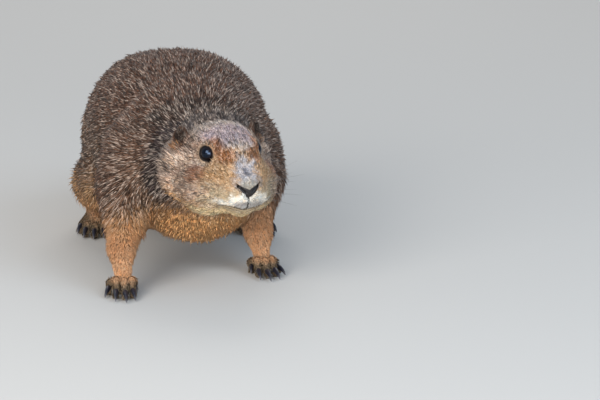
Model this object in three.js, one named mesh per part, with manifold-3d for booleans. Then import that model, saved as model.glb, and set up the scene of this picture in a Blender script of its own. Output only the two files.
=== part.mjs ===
// A life-size black-tailed prairie dog on all fours, one forefoot stepped forward and the head
// turned a little to its left. Millimetres, +Z up, the nose towards -Y and the animal's left at +X.
// The flesh is one smooth field of blended ellipsoids and tapered limbs, drawn out to the tips of
// the coat. It is meshed region by region and parted into its named pieces by thin cuts.
import * as THREE from "three";
import { triTable } from "three/addons/objects/MarchingCubes.js";
import { mergeVertices } from "three/addons/utils/BufferGeometryUtils.js";
import Module from "manifold-3d";

const wasm = await Module();
wasm.setup();

const GAP = 0.3; // kept between neighbouring pieces
const LEFT = 1;
const RIGHT = -1;
const SIDES = { R: RIGHT, L: LEFT };

// Driving sizes of the animal, over the coat.
const BACK_TOP = 111;
const BACK_HALF_WIDTH = 51.5;
const SHOULDER_TOP = 103;
const SHOULDER_HALF_WIDTH = 46;
const CHEST_BOTTOM = 21;
const BELLY_BOTTOM = 20;
const SHOULDER_Y = 46; // where along the body the shoulders lie
const BACK_Y = 120;
const RUMP_Y = 160;
const TAIL_ROOT = [0, 205, 58];
const TAIL_END = [-7, 283, 26];
const TAIL_PARTING_Y = 254; // between the two pieces of the tail
const LOIN_PARTING_Y = 112; // between the torso and the hindquarters
const TAIL_PARTING_BASE = TAIL_ROOT[1] + 6;

// The head, in its own frame, is a skull centre at the origin with the nose towards -Y.
const HEAD_AT = [11.1, -6.7, 76];
const HEAD_TURN = 16; // degrees to the animal's left
const HEAD_NOD = 12; // degrees nose down
const HEAD_DEPTH = 2; // where the head ends and the neck begins, along the tilted neck
const NECK_DEPTH = 20;
const CHEEK_HALF_WIDTH = 32;
const CROWN_TOP = 16;
const EYE_AT = [12.5, -9.5, 4.7];
const EYE_RADIUS = 5;
const EYE_OUT = [0.84, -0.49, 0.22]; // the way the pupil looks
const SOCKET_DEPTH = 2.4; // how far the head is drawn in round each eye
const SOCKET_REACH = 8.5;
const NOSE_AT = [0, -34.8, -7];
const NOSE_HALF = [6.2, 4.2, 5.2];
const NOSTRIL_RADIUS = 0.95;
const MOUTH_Z = -14.4; // top of the jaw, where the mouth's line crosses the middle
const EAR_AT = [21.3, 9.3, 5.6];
const EAR_HALF = [4.5, 2.8, 5.8];
const EAR_THICKNESS = 1.4;
const LID_THICKNESS = 0.9;
const LID_OPENING = [4.5, 4.2]; // half width and half height of the gap between the lids

// The feet stand on the floor at these places: wrist or heel above its own spot, toes forward.
const FOREFEET = {
  R: { wrist: [-44.5, 1, 23], elbow: [-36, 33, 47], toeOut: 1 },
  L: { wrist: [36, 38, 21], elbow: [34, 55, 45], toeOut: 4 },
};
const HINDFEET = {
  R: { heel: [-41, 182, 9], knee: [-46, 132, 38], toeOut: 9 },
  L: { heel: [41, 170, 9], knee: [46, 120, 38], toeOut: 9 },
};
// Each digit, from the inner one outwards: its turn outwards in degrees, its place across the foot,
// the setback of its root behind the foremost root, and the lengths of its fleshy part and its claw.
const FORE_DIGITS = [
  { turn: -14, across: -5, setback: 6, length: 4.5, claw: 4.5 },
  { turn: -4, across: -3.7, setback: 1, length: 11, claw: 9.5 },
  { turn: 0, across: 0, setback: 0, length: 13, claw: 10.5 },
  { turn: 5, across: 3.8, setback: 2, length: 12, claw: 10 },
  { turn: 17, across: 5.8, setback: 6.5, length: 9, claw: 8.5 },
];
const HIND_DIGITS = [
  { turn: -14, across: -7, setback: 7, length: 9, claw: 4.5 },
  { turn: -6, across: -4.1, setback: 1.5, length: 13, claw: 6 },
  { turn: 0, across: 0, setback: 0, length: 14, claw: 6.5 },
  { turn: 6, across: 4.2, setback: 2, length: 12.5, claw: 6 },
  { turn: 15, across: 7.2, setback: 8.5, length: 9, claw: 5 },
];
const PALM_LENGTH = 12;
const SOLE_LENGTH = 41;
const FORE_TOES = { radius: 2.1, rootHeight: 7.6, knuckleHeight: 8.8 };
const HIND_TOES = { radius: 2.45, rootHeight: 5, knuckleHeight: 6 };
const CLAW_RADIUS = 1.5;

// Mesh fineness: the side of a grid cell in each region.
const BODY_CELL = 13.5;
const LEG_CELL = 7.2;
const HEAD_CELL = 4.8;
const FOOT_CELL = 3.2;
const SOLE_CELL = 4;
const TAIL_CELL = 7.5;

const vec = (p) => new THREE.Vector3(...p);
const mirror = (p, side) => [p[0] * side, p[1], p[2]];
const radians = THREE.MathUtils.degToRad;

// Forms: each is a function of a point that tells how far outside its surface the point lies.
function ellipsoid(centre, half) {
  const [cx, cy, cz] = centre;
  const [a, b, c] = half;
  return (p) => {
    const x = (p.x - cx) / a;
    const y = (p.y - cy) / b;
    const z = (p.z - cz) / c;
    const k = Math.hypot(x, y, z);
    const slope = Math.hypot(x / a, y / b, z / c);
    return slope < 1e-9 ? -Math.min(a, b, c) : (k * (k - 1)) / slope;
  };
}

function limb(start, startRadius, end, endRadius) {
  const a = vec(start);
  const along = vec(end).sub(a);
  const length2 = along.lengthSq();
  return (p) => {
    const x = p.x - a.x;
    const y = p.y - a.y;
    const z = p.z - a.z;
    const t = THREE.MathUtils.clamp((x * along.x + y * along.y + z * along.z) / length2, 0, 1);
    const away = Math.hypot(x - t * along.x, y - t * along.y, z - t * along.z);
    return away - startRadius - t * (endRadius - startRadius);
  };
}

function smoothMin(a, b, blendWidth) {
  const h = Math.max(blendWidth - Math.abs(a - b), 0) / blendWidth;
  return Math.min(a, b) - (h * h * blendWidth) / 4;
}

function blend(blendWidth, forms) {
  return (p) => forms.reduce((d, form) => smoothMin(d, form(p), blendWidth), 1e6);
}

function placed(form, matrix) {
  const back = matrix.clone().invert();
  const q = new THREE.Vector3();
  return (p) => form(q.copy(p).applyMatrix4(back));
}

// The frame of the head: nodded about X, then turned about Z.
const headFrame = new THREE.Matrix4()
  .makeRotationZ(radians(HEAD_TURN))
  .multiply(new THREE.Matrix4().makeRotationX(radians(HEAD_NOD)))
  .setPosition(vec(HEAD_AT));
const inHead = (p) => vec(p).applyMatrix4(headFrame).toArray();

function headForm() {
  const cheekHalf = [18.5, 20, 20];
  const cheekX = CHEEK_HALF_WIDTH - cheekHalf[0];
  const cranium = ellipsoid([0, 0, CROWN_TOP - 15], [20.5, 23, 15]);
  const forehead = ellipsoid([0, -11, 2.5], [13.5, 16, 12]);
  const bridge = limb([0, -14, -3], 14, [0, -29.5, -7.5], 8.8);
  const muzzle = limb([0, -10, -9], 17, [0, -25.5, -12], 11.2);
  const jaw = limb([0, -4, -17], 15, [0, -26.5, -18], 7.4);
  const sides = [LEFT, RIGHT].flatMap((side) => [
    ellipsoid(mirror([cheekX, 11, -12.5], side), cheekHalf),
    ellipsoid(mirror([7.2, -28.2, -11.4], side), [8.6, 8.8, 7]),
    ellipsoid(mirror([12.5, -8, -12], side), [14, 18.5, 14]),
    ellipsoid(mirror([12, -5, -18], side), [15, 20, 13]),
    ellipsoid(mirror([9.6, -9.5, 7.4], side), [5.2, 8.5, 5.6]),
    ellipsoid(mirror([7, -18, -4.5], side), [9, 13, 9.5]),
  ]);
  const whole = blend(5, [cranium, forehead, bridge, muzzle, jaw, ...sides]);
  const sunk = (p) => {
    const away = Math.hypot(Math.abs(p.x) - EYE_AT[0], p.y - EYE_AT[1], p.z - EYE_AT[2]);
    return SOCKET_DEPTH * Math.exp(-((away / SOCKET_REACH) ** 2));
  };
  return placed((p) => whole(p) + sunk(p), headFrame);
}

function trunkForm() {
  const chestHalfHeight = (SHOULDER_TOP - CHEST_BOTTOM) / 2;
  const chestZ = CHEST_BOTTOM + chestHalfHeight;
  const backHalfHeight = (BACK_TOP - BELLY_BOTTOM) / 2;
  const backZ = BELLY_BOTTOM + backHalfHeight;
  const lobeHalf = 34;
  const lobeX = BACK_HALF_WIDTH - lobeHalf;
  const lobes = [LEFT, RIGHT].flatMap((side) => [
    ellipsoid(mirror([lobeX, BACK_Y, backZ - 2], side), [lobeHalf, 62, backHalfHeight - 4]),
    ellipsoid(mirror([lobeX - 2, RUMP_Y, backZ - 4], side), [lobeHalf, 46, backHalfHeight - 5]),
  ]);
  const middle = [
    ellipsoid([0, SHOULDER_Y, chestZ], [SHOULDER_HALF_WIDTH, 47, chestHalfHeight]),
    ellipsoid([0, SHOULDER_Y + 10, SHOULDER_TOP - 31], [36, 44, 31]),
    ellipsoid([0, BACK_Y + 4, backZ], [46, 82, backHalfHeight]),
  ];
  return blend(12, [...middle, ...lobes]);
}

function neckForm() {
  const nape = limb(inHead([0, 25, -10]), 16, [0, 44, 68], 37);
  const throat = limb(inHead([0, 10, -18]), 20, [0, 30, 51], 29.5);
  return blend(10, [nape, throat]);
}

function tailForm() {
  const middle = vec(TAIL_ROOT).lerp(vec(TAIL_END), 0.55);
  middle.z -= 3;
  const root = [TAIL_ROOT[0], TAIL_ROOT[1] - 18, TAIL_ROOT[2] + 4];
  const stretches = [limb(root, 19, middle.toArray(), 10.5), limb(middle.toArray(), 10.5, TAIL_END, 8)];
  const beside = ([x, y, z], dx) => [x + dx, y, z];
  const brush = [4.5, -4.5].map((dx) =>
    limb(beside(TAIL_ROOT, dx), 11, beside(TAIL_END, dx), 8.5),
  );
  return blend(8, [...stretches, ...brush]);
}

function foreLegForm(side, leg) {
  const shoulder = ellipsoid(mirror([34, leg.elbow[1] + 8, 60], side), [19, 25, 27]);
  const forearm = limb(leg.elbow, 18.5, leg.wrist, 6.6);
  return blend(12, [shoulder, forearm]);
}

function hindLegForm(side, leg) {
  const thigh = ellipsoid(mirror([33, leg.knee[1] + 28, 47], side), [20, 38, 34]);
  const knee = ellipsoid([leg.knee[0], leg.knee[1] + 6, leg.knee[2] - 6], [11, 17, 17]);
  const shank = limb([leg.knee[0], leg.knee[1] + 18, 30], 14, [leg.heel[0], leg.heel[1] - 2, 12], 8.5);
  return blend(10, [thigh, knee, shank]);
}

// Where a digit's knuckle, tip and claw lie, from the foot's own place and heading.
function digitPlan(foot, side, digit) {
  const heading = radians(foot.turn + side * digit.turn);
  const forward = new THREE.Vector3(Math.sin(heading), -Math.cos(heading), 0);
  const footTurn = radians(foot.turn);
  const ahead = new THREE.Vector3(Math.sin(footTurn), -Math.cos(footTurn), 0);
  const across = new THREE.Vector3(Math.cos(footTurn), Math.sin(footTurn), 0);
  const root = foot.ball
    .clone()
    .addScaledVector(ahead, -digit.setback)
    .addScaledVector(across, side * digit.across);
  const along = (distance, height) => {
    const p = root.clone().addScaledVector(forward, distance);
    p.z = height;
    return p;
  };
  const reach = digit.length;
  return {
    root: along(0, foot.rootHeight),
    knuckle: along(reach * 0.5, foot.knuckleHeight),
    tip: along(reach, foot.radius * 0.95),
    claw: [
      along(reach - 1.2, foot.radius * 1.8),
      along(reach + digit.claw * 0.5, foot.radius * 1.95),
      along(reach + digit.claw, 0.65),
    ],
  };
}

// A foot's place, heading and the size of its toes, with a plan for each of its digits.
function footPlan(side, digits, back, out, length, toes) {
  const turn = side * out;
  const heading = radians(turn);
  const ball = vec(back).add(
    new THREE.Vector3(Math.sin(heading) * length, -Math.cos(heading) * length, 0),
  );
  const foot = { side, turn, ball, back: vec(back), ...toes };
  foot.digits = digits.map((digit) => digitPlan(foot, side, digit));
  return foot;
}

const forefeet = Object.fromEntries(
  Object.entries(FOREFEET).map(([name, leg]) => [
    name,
    footPlan(SIDES[name], FORE_DIGITS, leg.wrist, leg.toeOut, PALM_LENGTH, FORE_TOES),
  ]),
);
const hindfeet = Object.fromEntries(
  Object.entries(HINDFEET).map(([name, leg]) => [
    name,
    footPlan(SIDES[name], HIND_DIGITS, leg.heel, leg.toeOut, SOLE_LENGTH, HIND_TOES),
  ]),
);

function digitForm(digit, radius) {
  const { root, knuckle, tip } = digit;
  return blend(1.5, [
    limb(root.toArray(), radius * 1.08, knuckle.toArray(), radius),
    limb(knuckle.toArray(), radius, tip.toArray(), radius * 0.92),
  ]);
}

const outerDigits = (foot) => [foot.digits.at(0), foot.digits.at(-1)];
const toeForms = (foot) => foot.digits.map((digit) => digitForm(digit, foot.radius));

function forefootForm(foot) {
  const wrist = foot.back.toArray();
  const ball = [foot.ball.x, foot.ball.y, 6.8];
  const pad = [foot.ball.x, foot.ball.y, 3.8];
  const heelPad = foot.back.clone().lerp(foot.ball, 0.6).setZ(3.6).toArray();
  const palm = blend(3, [limb(wrist, 6.2, ball, 4.2), limb(heelPad, 4.2, pad, 4.3)]);
  const wide = outerDigits(foot).map((digit) => limb(heelPad, 3.8, digit.root.toArray(), 2.6));
  return blend(1.8, [palm, ...wide, ...toeForms(foot)]);
}

function hindfootForm(foot) {
  const heel = [foot.back.x, foot.back.y, 6.6];
  const ball = [foot.ball.x, foot.ball.y, 4.6];
  const sole = limb(heel, 7, ball, 5.4);
  const wide = outerDigits(foot).map((digit) => limb(heel, 5.6, digit.root.toArray(), 4.2));
  return blend(1.8, [sole, ...wide, ...toeForms(foot)]);
}

const head = headForm();
const trunk = blend(14, [trunkForm(), neckForm(), tailForm()]);
const legs = Object.keys(SIDES).flatMap((name) => [
  foreLegForm(SIDES[name], FOREFEET[name]),
  hindLegForm(SIDES[name], HINDFEET[name]),
]);
const feet = [
  ...Object.values(forefeet).map(forefootForm),
  ...Object.values(hindfeet).map(hindfootForm),
];
const body = blend(9, [trunk, ...legs]);

// The whole coat's surface: the feet join the legs tightly and the head sits in a fold of the neck.
function flesh(p) {
  const whole = smoothMin(body(p), head(p), 3);
  if (p.z > 40) return whole;
  return feet.reduce((d, form) => smoothMin(d, form(p), 4), whole);
}

// The corners of a grid cell, and the corners that each of its edges joins, as the table counts them.
const CORNERS = [
  [0, 0, 0], [1, 0, 0], [1, 1, 0], [0, 1, 0],
  [0, 0, 1], [1, 0, 1], [1, 1, 1], [0, 1, 1],
];
const EDGES = [
  [0, 1], [1, 2], [2, 3], [3, 0], [4, 5], [5, 6],
  [6, 7], [7, 4], [0, 4], [1, 5], [2, 6], [3, 7],
];
const NEAREST_CORNER = 0.12; // keeps a crossing clear of its cell's corners

// Marching cubes: the surface of a form inside a box, closed off at the box's faces.
function polygonize(form, low, high, cell) {
  const count = low.map((v, i) => Math.ceil((high[i] - v) / cell) + 3);
  const place = (i, j, k) =>
    new THREE.Vector3(low[0] + (i - 1) * cell, low[1] + (j - 1) * cell, low[2] + (k - 1) * cell);
  const index = (i, j, k) => i + count[0] * (j + count[1] * k);
  const field = new Float64Array(count[0] * count[1] * count[2]);
  for (let k = 0; k < count[2]; k++)
    for (let j = 0; j < count[1]; j++)
      for (let i = 0; i < count[0]; i++) {
        const rim = [i, j, k].some((n, axis) => n === 0 || n === count[axis] - 1);
        field[index(i, j, k)] = rim ? cell : form(place(i, j, k));
      }
  const positions = [];
  const triangles = [];
  const crossings = new Map();
  const crossing = (i, j, k, edge) => {
    const ends = EDGES[edge].map((c) => [i + CORNERS[c][0], j + CORNERS[c][1], k + CORNERS[c][2]]);
    const [a, b] = ends.map((e) => index(...e));
    const key = Math.min(a, b) * field.length + Math.max(a, b);
    if (!crossings.has(key)) {
      const share = field[a] / (field[a] - field[b]);
      const t = THREE.MathUtils.clamp(share, NEAREST_CORNER, 1 - NEAREST_CORNER);
      crossings.set(key, positions.length);
      positions.push(place(...ends[0]).lerp(place(...ends[1]), t));
    }
    return crossings.get(key);
  };
  for (let k = 0; k < count[2] - 1; k++)
    for (let j = 0; j < count[1] - 1; j++)
      for (let i = 0; i < count[0] - 1; i++) {
        const inside = CORNERS.map(([x, y, z]) => field[index(i + x, j + y, k + z)] < 0);
        const row = inside.reduce((bits, is, n) => bits + (is ? 2 ** n : 0), 0) * 16;
        for (let t = row; triTable[t] !== -1 && t < row + 16; t += 3)
          triangles.push([0, 1, 2].map((n) => crossing(i, j, k, triTable[t + n])));
      }
  relax(form, positions, triangles, cell);
  return solid(positions, triangles);
}

// Evens out the triangles: each point moves to the middle of its neighbours, then back on the form.
function relax(form, positions, triangles, cell) {
  const rounds = 4;
  const nudge = 0.05;
  const off = (p, x, y, z) => form(new THREE.Vector3(p.x + x, p.y + y, p.z + z));
  for (let round = 0; round < rounds; round++) {
    const sums = positions.map(() => [new THREE.Vector3(), 0]);
    for (const [a, b, c] of triangles)
      for (const [to, from] of [[a, b], [b, c], [c, a]]) {
        sums[to][0].add(positions[from]);
        sums[to][1] += 1;
      }
    positions.forEach((p, n) => {
      const before = form(p);
      if (Math.abs(before) > cell * 0.45) return; // a point of the box's own faces stays
      p.lerp(sums[n][0].divideScalar(sums[n][1]), 0.5);
      const d = form(p);
      const beside = [off(p, nudge, 0, 0), off(p, 0, nudge, 0), off(p, 0, 0, nudge)];
      const slope = vec(beside.map((value) => value - d));
      p.addScaledVector(slope.normalize(), -THREE.MathUtils.clamp(d, -cell / 2, cell / 2));
    });
  }
}

// A closed solid from points and triangles, turned to face outwards.
function solid(positions, triangles) {
  const vertProperties = new Float32Array(positions.flatMap((p) => [p.x, p.y, p.z]));
  const make = (turned) =>
    new wasm.Manifold(
      new wasm.Mesh({ numProp: 3, vertProperties, triVerts: new Uint32Array(turned.flat()) }),
    );
  const made = make(triangles);
  return made.volume() > 0 ? made : make(triangles.map(([a, b, c]) => [a, c, b]));
}

// A three.js geometry, put in place by a matrix, as a closed solid.
function solidOf(geometry, matrix = new THREE.Matrix4()) {
  const bare = geometry.clone().applyMatrix4(matrix);
  bare.deleteAttribute("normal");
  bare.deleteAttribute("uv");
  const merged = mergeVertices(bare, 1e-4);
  const position = merged.attributes.position;
  const point = (n) => new THREE.Vector3().fromBufferAttribute(position, n);
  const points = Array.from({ length: position.count }, (_, n) => point(n));
  const corners = merged.index.array;
  const triangles = [];
  for (let n = 0; n < corners.length; n += 3) triangles.push([corners[n], corners[n + 1], corners[n + 2]]);
  return solid(points, triangles.filter(([a, b, c]) => a !== b && b !== c && c !== a));
}

// Region solids that the cuts follow, each made a gap larger where its neighbour is cut.
const boxRegion = (low, high, matrix) => (grow) => {
  const size = high.map((v, i) => v - low[i] + 2 * grow);
  const centre = high.map((v, i) => (v + low[i]) / 2);
  const geometry = new THREE.BoxGeometry(...size).translate(...centre);
  return solidOf(geometry, matrix);
};
const roundRegion = (centre, half, matrix) => (grow) => {
  const geometry = new THREE.SphereGeometry(1, 16, 10).scale(...half.map((r) => r + grow));
  return solidOf(geometry.translate(...centre), matrix);
};
const limbRegion = (start, end, radius) => (grow) => {
  const along = vec(end).sub(vec(start));
  const geometry = new THREE.CapsuleGeometry(radius + grow, along.length(), 3, 14);
  const way = along.clone().normalize();
  const turn = new THREE.Quaternion().setFromUnitVectors(new THREE.Vector3(0, 1, 0), way);
  const middle = vec(start).add(along.multiplyScalar(0.5));
  return solidOf(geometry, new THREE.Matrix4().compose(middle, turn, new THREE.Vector3(1, 1, 1)));
};

// A region of the flesh: meshed in its own box and cell, kept inside its region and cut clear of
// the regions that were taken before it, then reduced to its largest closed surface.
function fleshPiece({ low, high, cell, region, taken = [] }) {
  let piece = polygonize(flesh, low, high, cell);
  if (region) piece = piece.intersect(region(0));
  for (const other of taken) piece = piece.subtract(other(GAP));
  return largest(piece);
}

function largest(piece) {
  return piece.decompose().reduce((best, next) => (next.volume() > best.volume() ? next : best));
}

const geometryOf = (piece) => {
  const mesh = piece.getMesh();
  return new THREE.BufferGeometry()
    .setAttribute("position", new THREE.BufferAttribute(mesh.vertProperties.slice(), 3))
    .setIndex(new THREE.BufferAttribute(mesh.triVerts.slice(), 1));
};

const coats = {
  grizzled: new THREE.MeshStandardMaterial({ color: 0x7f685f, roughness: 0.9 }),
  face: new THREE.MeshStandardMaterial({ color: 0xa58c80, roughness: 0.9 }),
  pale: new THREE.MeshStandardMaterial({ color: 0xcbb08c, roughness: 0.9 }),
  tan: new THREE.MeshStandardMaterial({ color: 0x9e7354, roughness: 0.9 }),
  black: new THREE.MeshStandardMaterial({ color: 0x1c1816, roughness: 0.9 }),
  eye: new THREE.MeshStandardMaterial({ color: 0x0b0908, roughness: 0.05 }),
  nose: new THREE.MeshStandardMaterial({ color: 0x4a413b, roughness: 0.6 }),
  horn: new THREE.MeshStandardMaterial({ color: 0x2b2a2d, roughness: 0.4 }),
};

const animal = new THREE.Group();
function add(name, piece, material) {
  const mesh = new THREE.Mesh(geometryOf(piece), material);
  mesh.name = name;
  animal.add(mesh);
}

// The regions, from the ground up. Each leg has a foot, a lower and an upper piece.
const regions = {};
const ground = boxRegion([-200, -200, -60], [200, 400, 0]);
for (const [name, side] of Object.entries(SIDES)) {
  const span = (inner, outer) => (side === LEFT ? [inner, outer] : [-outer, -inner]);
  const fore = FOREFEET[name];
  const hind = HINDFEET[name];
  const [foreLow, foreHigh] = span(16, 75);
  const [hindLow, hindHigh] = span(28, 80);
  const reachForward = 45;
  regions["forefoot_" + name] = boxRegion(
    [foreLow, fore.wrist[1] - reachForward, -1],
    [foreHigh, fore.wrist[1] + 14, fore.wrist[2] - 3],
  );
  regions["foreleg_upper_" + name] = roundRegion(
    mirror([37, fore.elbow[1] + 4, fore.elbow[2] + 11], side),
    [23, 27, 27],
  );
  regions["foreleg_lower_" + name] = limbRegion(fore.elbow, [...fore.wrist.slice(0, 2), 0], 22);
  regions["hindfoot_" + name] = boxRegion(
    [hindLow, hind.heel[1] - 90, -1],
    [hindHigh, hind.heel[1] + 25, 12.5],
  );
  regions["hindleg_upper_" + name] = roundRegion(mirror([40, hind.knee[1] + 24, 52], side), [25, 40, 30]);
  regions["hindleg_lower_" + name] = limbRegion([hind.knee[0], hind.knee[1] + 12, 22], hind.heel, 17);
}
const fromHead = new THREE.Matrix4().makeRotationX(radians(-28)).setPosition(0, 15, -3);
const neckTilt = headFrame.clone().multiply(fromHead);
regions.lower_jaw = roundRegion([0, -23, MOUTH_Z - 13], [17, 20, 13], headFrame);
regions.head = boxRegion([-60, -90, -42], [60, HEAD_DEPTH, 60], neckTilt);
regions.neck = boxRegion([-60, HEAD_DEPTH + GAP, -42], [60, NECK_DEPTH, 60], neckTilt);
regions.tail_tip = boxRegion([-60, TAIL_PARTING_Y, -1], [60, 320, 90]);
regions.tail_base = boxRegion([-60, TAIL_PARTING_BASE, -1], [60, TAIL_PARTING_Y - GAP, 90]);
regions.hindquarters = boxRegion([-90, LOIN_PARTING_Y, -1], [90, TAIL_PARTING_BASE - GAP, 140]);

const take = (...names) => names.map((name) => regions[name]);
const legNames = (kind) => Object.keys(SIDES).map((name) => kind + "_" + name);
const allFeet = [...legNames("forefoot"), ...legNames("hindfoot")];
const allUppers = [...legNames("foreleg_upper"), ...legNames("hindleg_upper")];
const allLowers = [...legNames("foreleg_lower"), ...legNames("hindleg_lower")];

function addFeet() {
  for (const [name, side] of Object.entries(SIDES)) {
    const plans = { forefoot: forefeet[name], hindfoot: hindfeet[name] };
    for (const [kind, foot] of Object.entries(plans)) {
      const key = kind + "_" + name;
      const low = [Math.min(side * 12, side * 80), foot.ball.y - 24, -5];
      const high = [Math.max(side * 12, side * 80), foot.back.y + 16, 24];
      const cell = kind === "forefoot" ? FOOT_CELL : SOLE_CELL;
      let piece = fleshPiece({ low, high, cell, region: regions[key] }).subtract(ground(0));
      foot.digits.forEach((digit, n) => {
        add(`claw_${kind}_${name}_${n + 1}`, clawSolid(digit.claw), coats.horn);
        piece = piece.subtract(clawSolid(digit.claw, GAP));
      });
      add(key, largest(piece), coats.pale);
    }
  }
}

// A claw: a tapered tube along an arc, sunk in its toe and ending just over the floor.
function clawSolid(path, grow = 0) {
  const curve = new THREE.QuadraticBezierCurve3(...path);
  const steps = 4;
  const around = 5;
  const points = [];
  const triangles = [];
  const frames = curve.computeFrenetFrames(steps, false);
  for (let s = 0; s <= steps; s++) {
    const t = s / steps;
    const radius = CLAW_RADIUS * (1 - t) ** 0.75 + 0.22 + grow;
    const centre = curve.getPointAt(t);
    for (let a = 0; a < around; a++) {
      const turn = (2 * Math.PI * a) / around;
      const p = centre.clone();
      p.addScaledVector(frames.normals[s], Math.cos(turn) * radius);
      p.addScaledVector(frames.binormals[s], Math.sin(turn) * radius);
      points.push(p);
    }
  }
  for (let s = 0; s < steps; s++)
    for (let a = 0; a < around; a++) {
      const next = (a + 1) % around;
      const [p, q] = [s * around + a, s * around + next];
      triangles.push([p, q, q + around], [p, q + around, p + around]);
    }
  const starts = [0, steps * around];
  const ends = starts.map((start, n) => {
    const centre = curve.getPointAt(n);
    centre.addScaledVector(curve.getTangentAt(n), (n ? 1 : -1) * (0.3 + grow));
    points.push(centre);
    return points.length - 1;
  });
  for (let a = 0; a < around; a++) {
    const next = (a + 1) % around;
    triangles.push([ends[0], next, a]);
    triangles.push([ends[1], starts[1] + a, starts[1] + next]);
  }
  return solid(points, triangles);
}

function addLegs() {
  for (const [name, side] of Object.entries(SIDES)) {
    for (const kind of ["foreleg", "hindleg"]) {
      const upper = kind + "_upper_" + name;
      const lower = kind + "_lower_" + name;
      const leg = kind === "foreleg" ? FOREFEET[name] : HINDFEET[name];
      const knee = leg.elbow ?? leg.knee;
      const end = leg.wrist ?? leg.heel;
      const low = [Math.min(side * 8, side * 82), Math.min(knee[1], end[1]) - 46, 3];
      const high = [Math.max(side * 8, side * 82), Math.max(knee[1], end[1]) + 46, 96];
      const box = { low, high, cell: LEG_CELL };
      const coat = kind === "foreleg" ? coats.tan : coats.grizzled;
      add(upper, fleshPiece({ ...box, region: regions[upper], taken: take(...allFeet) }), coat);
      add(lower, fleshPiece({ ...box, region: regions[lower], taken: take(...allFeet, upper) }), coats.tan);
    }
  }
}

function addTrunk() {
  const legsTaken = take(...allFeet, ...allUppers, ...allLowers);
  const headTaken = take("lower_jaw", "head");
  const whole = { low: [-75, -30, 6], high: [75, 225, 130], cell: BODY_CELL };
  add("neck", fleshPiece({
    low: [-66, -34, 20], high: [66, 60, 130], cell: BODY_CELL * 0.75,
    region: regions.neck, taken: [...legsTaken, ...headTaken],
  }), coats.grizzled);
  add("torso", fleshPiece({
    ...whole, taken: [...legsTaken, ...headTaken, ...take("neck", "hindquarters", "tail_base")],
  }), coats.grizzled);
  add("hindquarters", fleshPiece({
    ...whole, region: regions.hindquarters, taken: [...legsTaken, ...take("tail_base")],
  }), coats.grizzled);
  const tailBox = { low: [-40, 196, 4], high: [40, 300, 96], cell: TAIL_CELL };
  add("tail_base", fleshPiece({ ...tailBox, region: regions.tail_base }), coats.grizzled);
  add("tail_tip", fleshPiece({ ...tailBox, region: regions.tail_tip }), coats.black);
}

// The eye's own frame, with Z along the way it looks.
function eyeFrame(side) {
  const look = vec(mirror(EYE_OUT, side)).normalize();
  const turn = new THREE.Quaternion().setFromUnitVectors(new THREE.Vector3(0, 0, 1), look);
  const own = new THREE.Matrix4().compose(vec(mirror(EYE_AT, side)), turn, new THREE.Vector3(1, 1, 1));
  return headFrame.clone().multiply(own);
}

function eyeball(side, grow) {
  return solidOf(new THREE.SphereGeometry(EYE_RADIUS + grow, 14, 10), eyeFrame(side));
}

// Both lids: a shell round the eyeball with an oval opening along the way the eye looks.
function lids(side) {
  const shell = eyeball(side, LID_THICKNESS).subtract(eyeball(side, GAP));
  const opening = new THREE.CylinderGeometry(1, 1, 20, 20).rotateX(Math.PI / 2);
  const oval = solidOf(opening.scale(...LID_OPENING, 1).translate(0, 0, 10), eyeFrame(side));
  return shell.subtract(oval);
}

// An ear: a low round cup, hollow towards the front and side, set in a socket of the head.
function earFrame(side) {
  const turn = new THREE.Euler(radians(-14), radians(side * 16), radians(side * 40), "ZYX");
  const own = new THREE.Matrix4().makeRotationFromEuler(turn).setPosition(vec(mirror(EAR_AT, side)));
  return headFrame.clone().multiply(own);
}

function earBlank(side, grow) {
  const outer = new THREE.SphereGeometry(1, 12, 8).scale(...EAR_HALF.map((r) => r + grow));
  return solidOf(outer, earFrame(side));
}

function earCup(side) {
  const half = EAR_HALF.map((r) => r - EAR_THICKNESS);
  const hollow = new THREE.SphereGeometry(1, 10, 7).scale(half[0], EAR_HALF[1], half[2]);
  return earBlank(side, 0).subtract(solidOf(hollow.translate(0, -EAR_HALF[1] * 0.6, 0.3), earFrame(side)));
}

// The nose pad and its two comma-shaped nostrils.
function nosePad(grow) {
  const pad = new THREE.SphereGeometry(1, 16, 10).scale(...NOSE_HALF.map((r) => r + grow));
  return solidOf(pad.translate(...NOSE_AT), headFrame);
}

function nostril(side) {
  const path = new THREE.CatmullRomCurve3(
    [[0.9, -3.84, -1.5], [3, -3.53, 0.1], [5, -1.6, 1.7]].map((p) =>
      vec(mirror(p, side)).add(vec(NOSE_AT)),
    ),
  );
  const around = new THREE.Shape().absarc(0, 0, NOSTRIL_RADIUS, 0, 2 * Math.PI);
  const fineness = { steps: 4, curveSegments: 5 };
  return solidOf(new THREE.ExtrudeGeometry(around, { ...fineness, extrudePath: path }), headFrame);
}

function addHead() {
  const low = [-36, -66, 38];
  const high = [64, 34, 112];
  const raw = polygonize(flesh, low, high, HEAD_CELL);
  const philtrum = boxRegion([-0.35, -50, -17.5], [0.35, -36.4, -10.5], headFrame);
  const cuts = [nosePad(GAP), philtrum(0), regions.lower_jaw(GAP)];
  let face = raw.intersect(regions.head(0));
  for (const side of [LEFT, RIGHT]) {
    face = face.add(lids(side));
    cuts.push(eyeball(side, GAP), earBlank(side, GAP));
  }
  for (const cut of cuts) face = face.subtract(cut);
  add("head", largest(face), coats.face);
  add("lower_jaw", largest(raw.intersect(regions.lower_jaw(0)).intersect(regions.head(-GAP))), coats.pale);
  const nose = nosePad(0).subtract(nostril(LEFT)).subtract(nostril(RIGHT));
  add("nose", largest(nose.subtract(regions.lower_jaw(GAP))), coats.nose);
  for (const [name, side] of Object.entries(SIDES)) {
    add("eye_" + name, eyeball(side, 0), coats.eye);
    add("ear_" + name, largest(earCup(side)), coats.face);
  }
}

addHead();
addTrunk();
addLegs();
addFeet();

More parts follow.
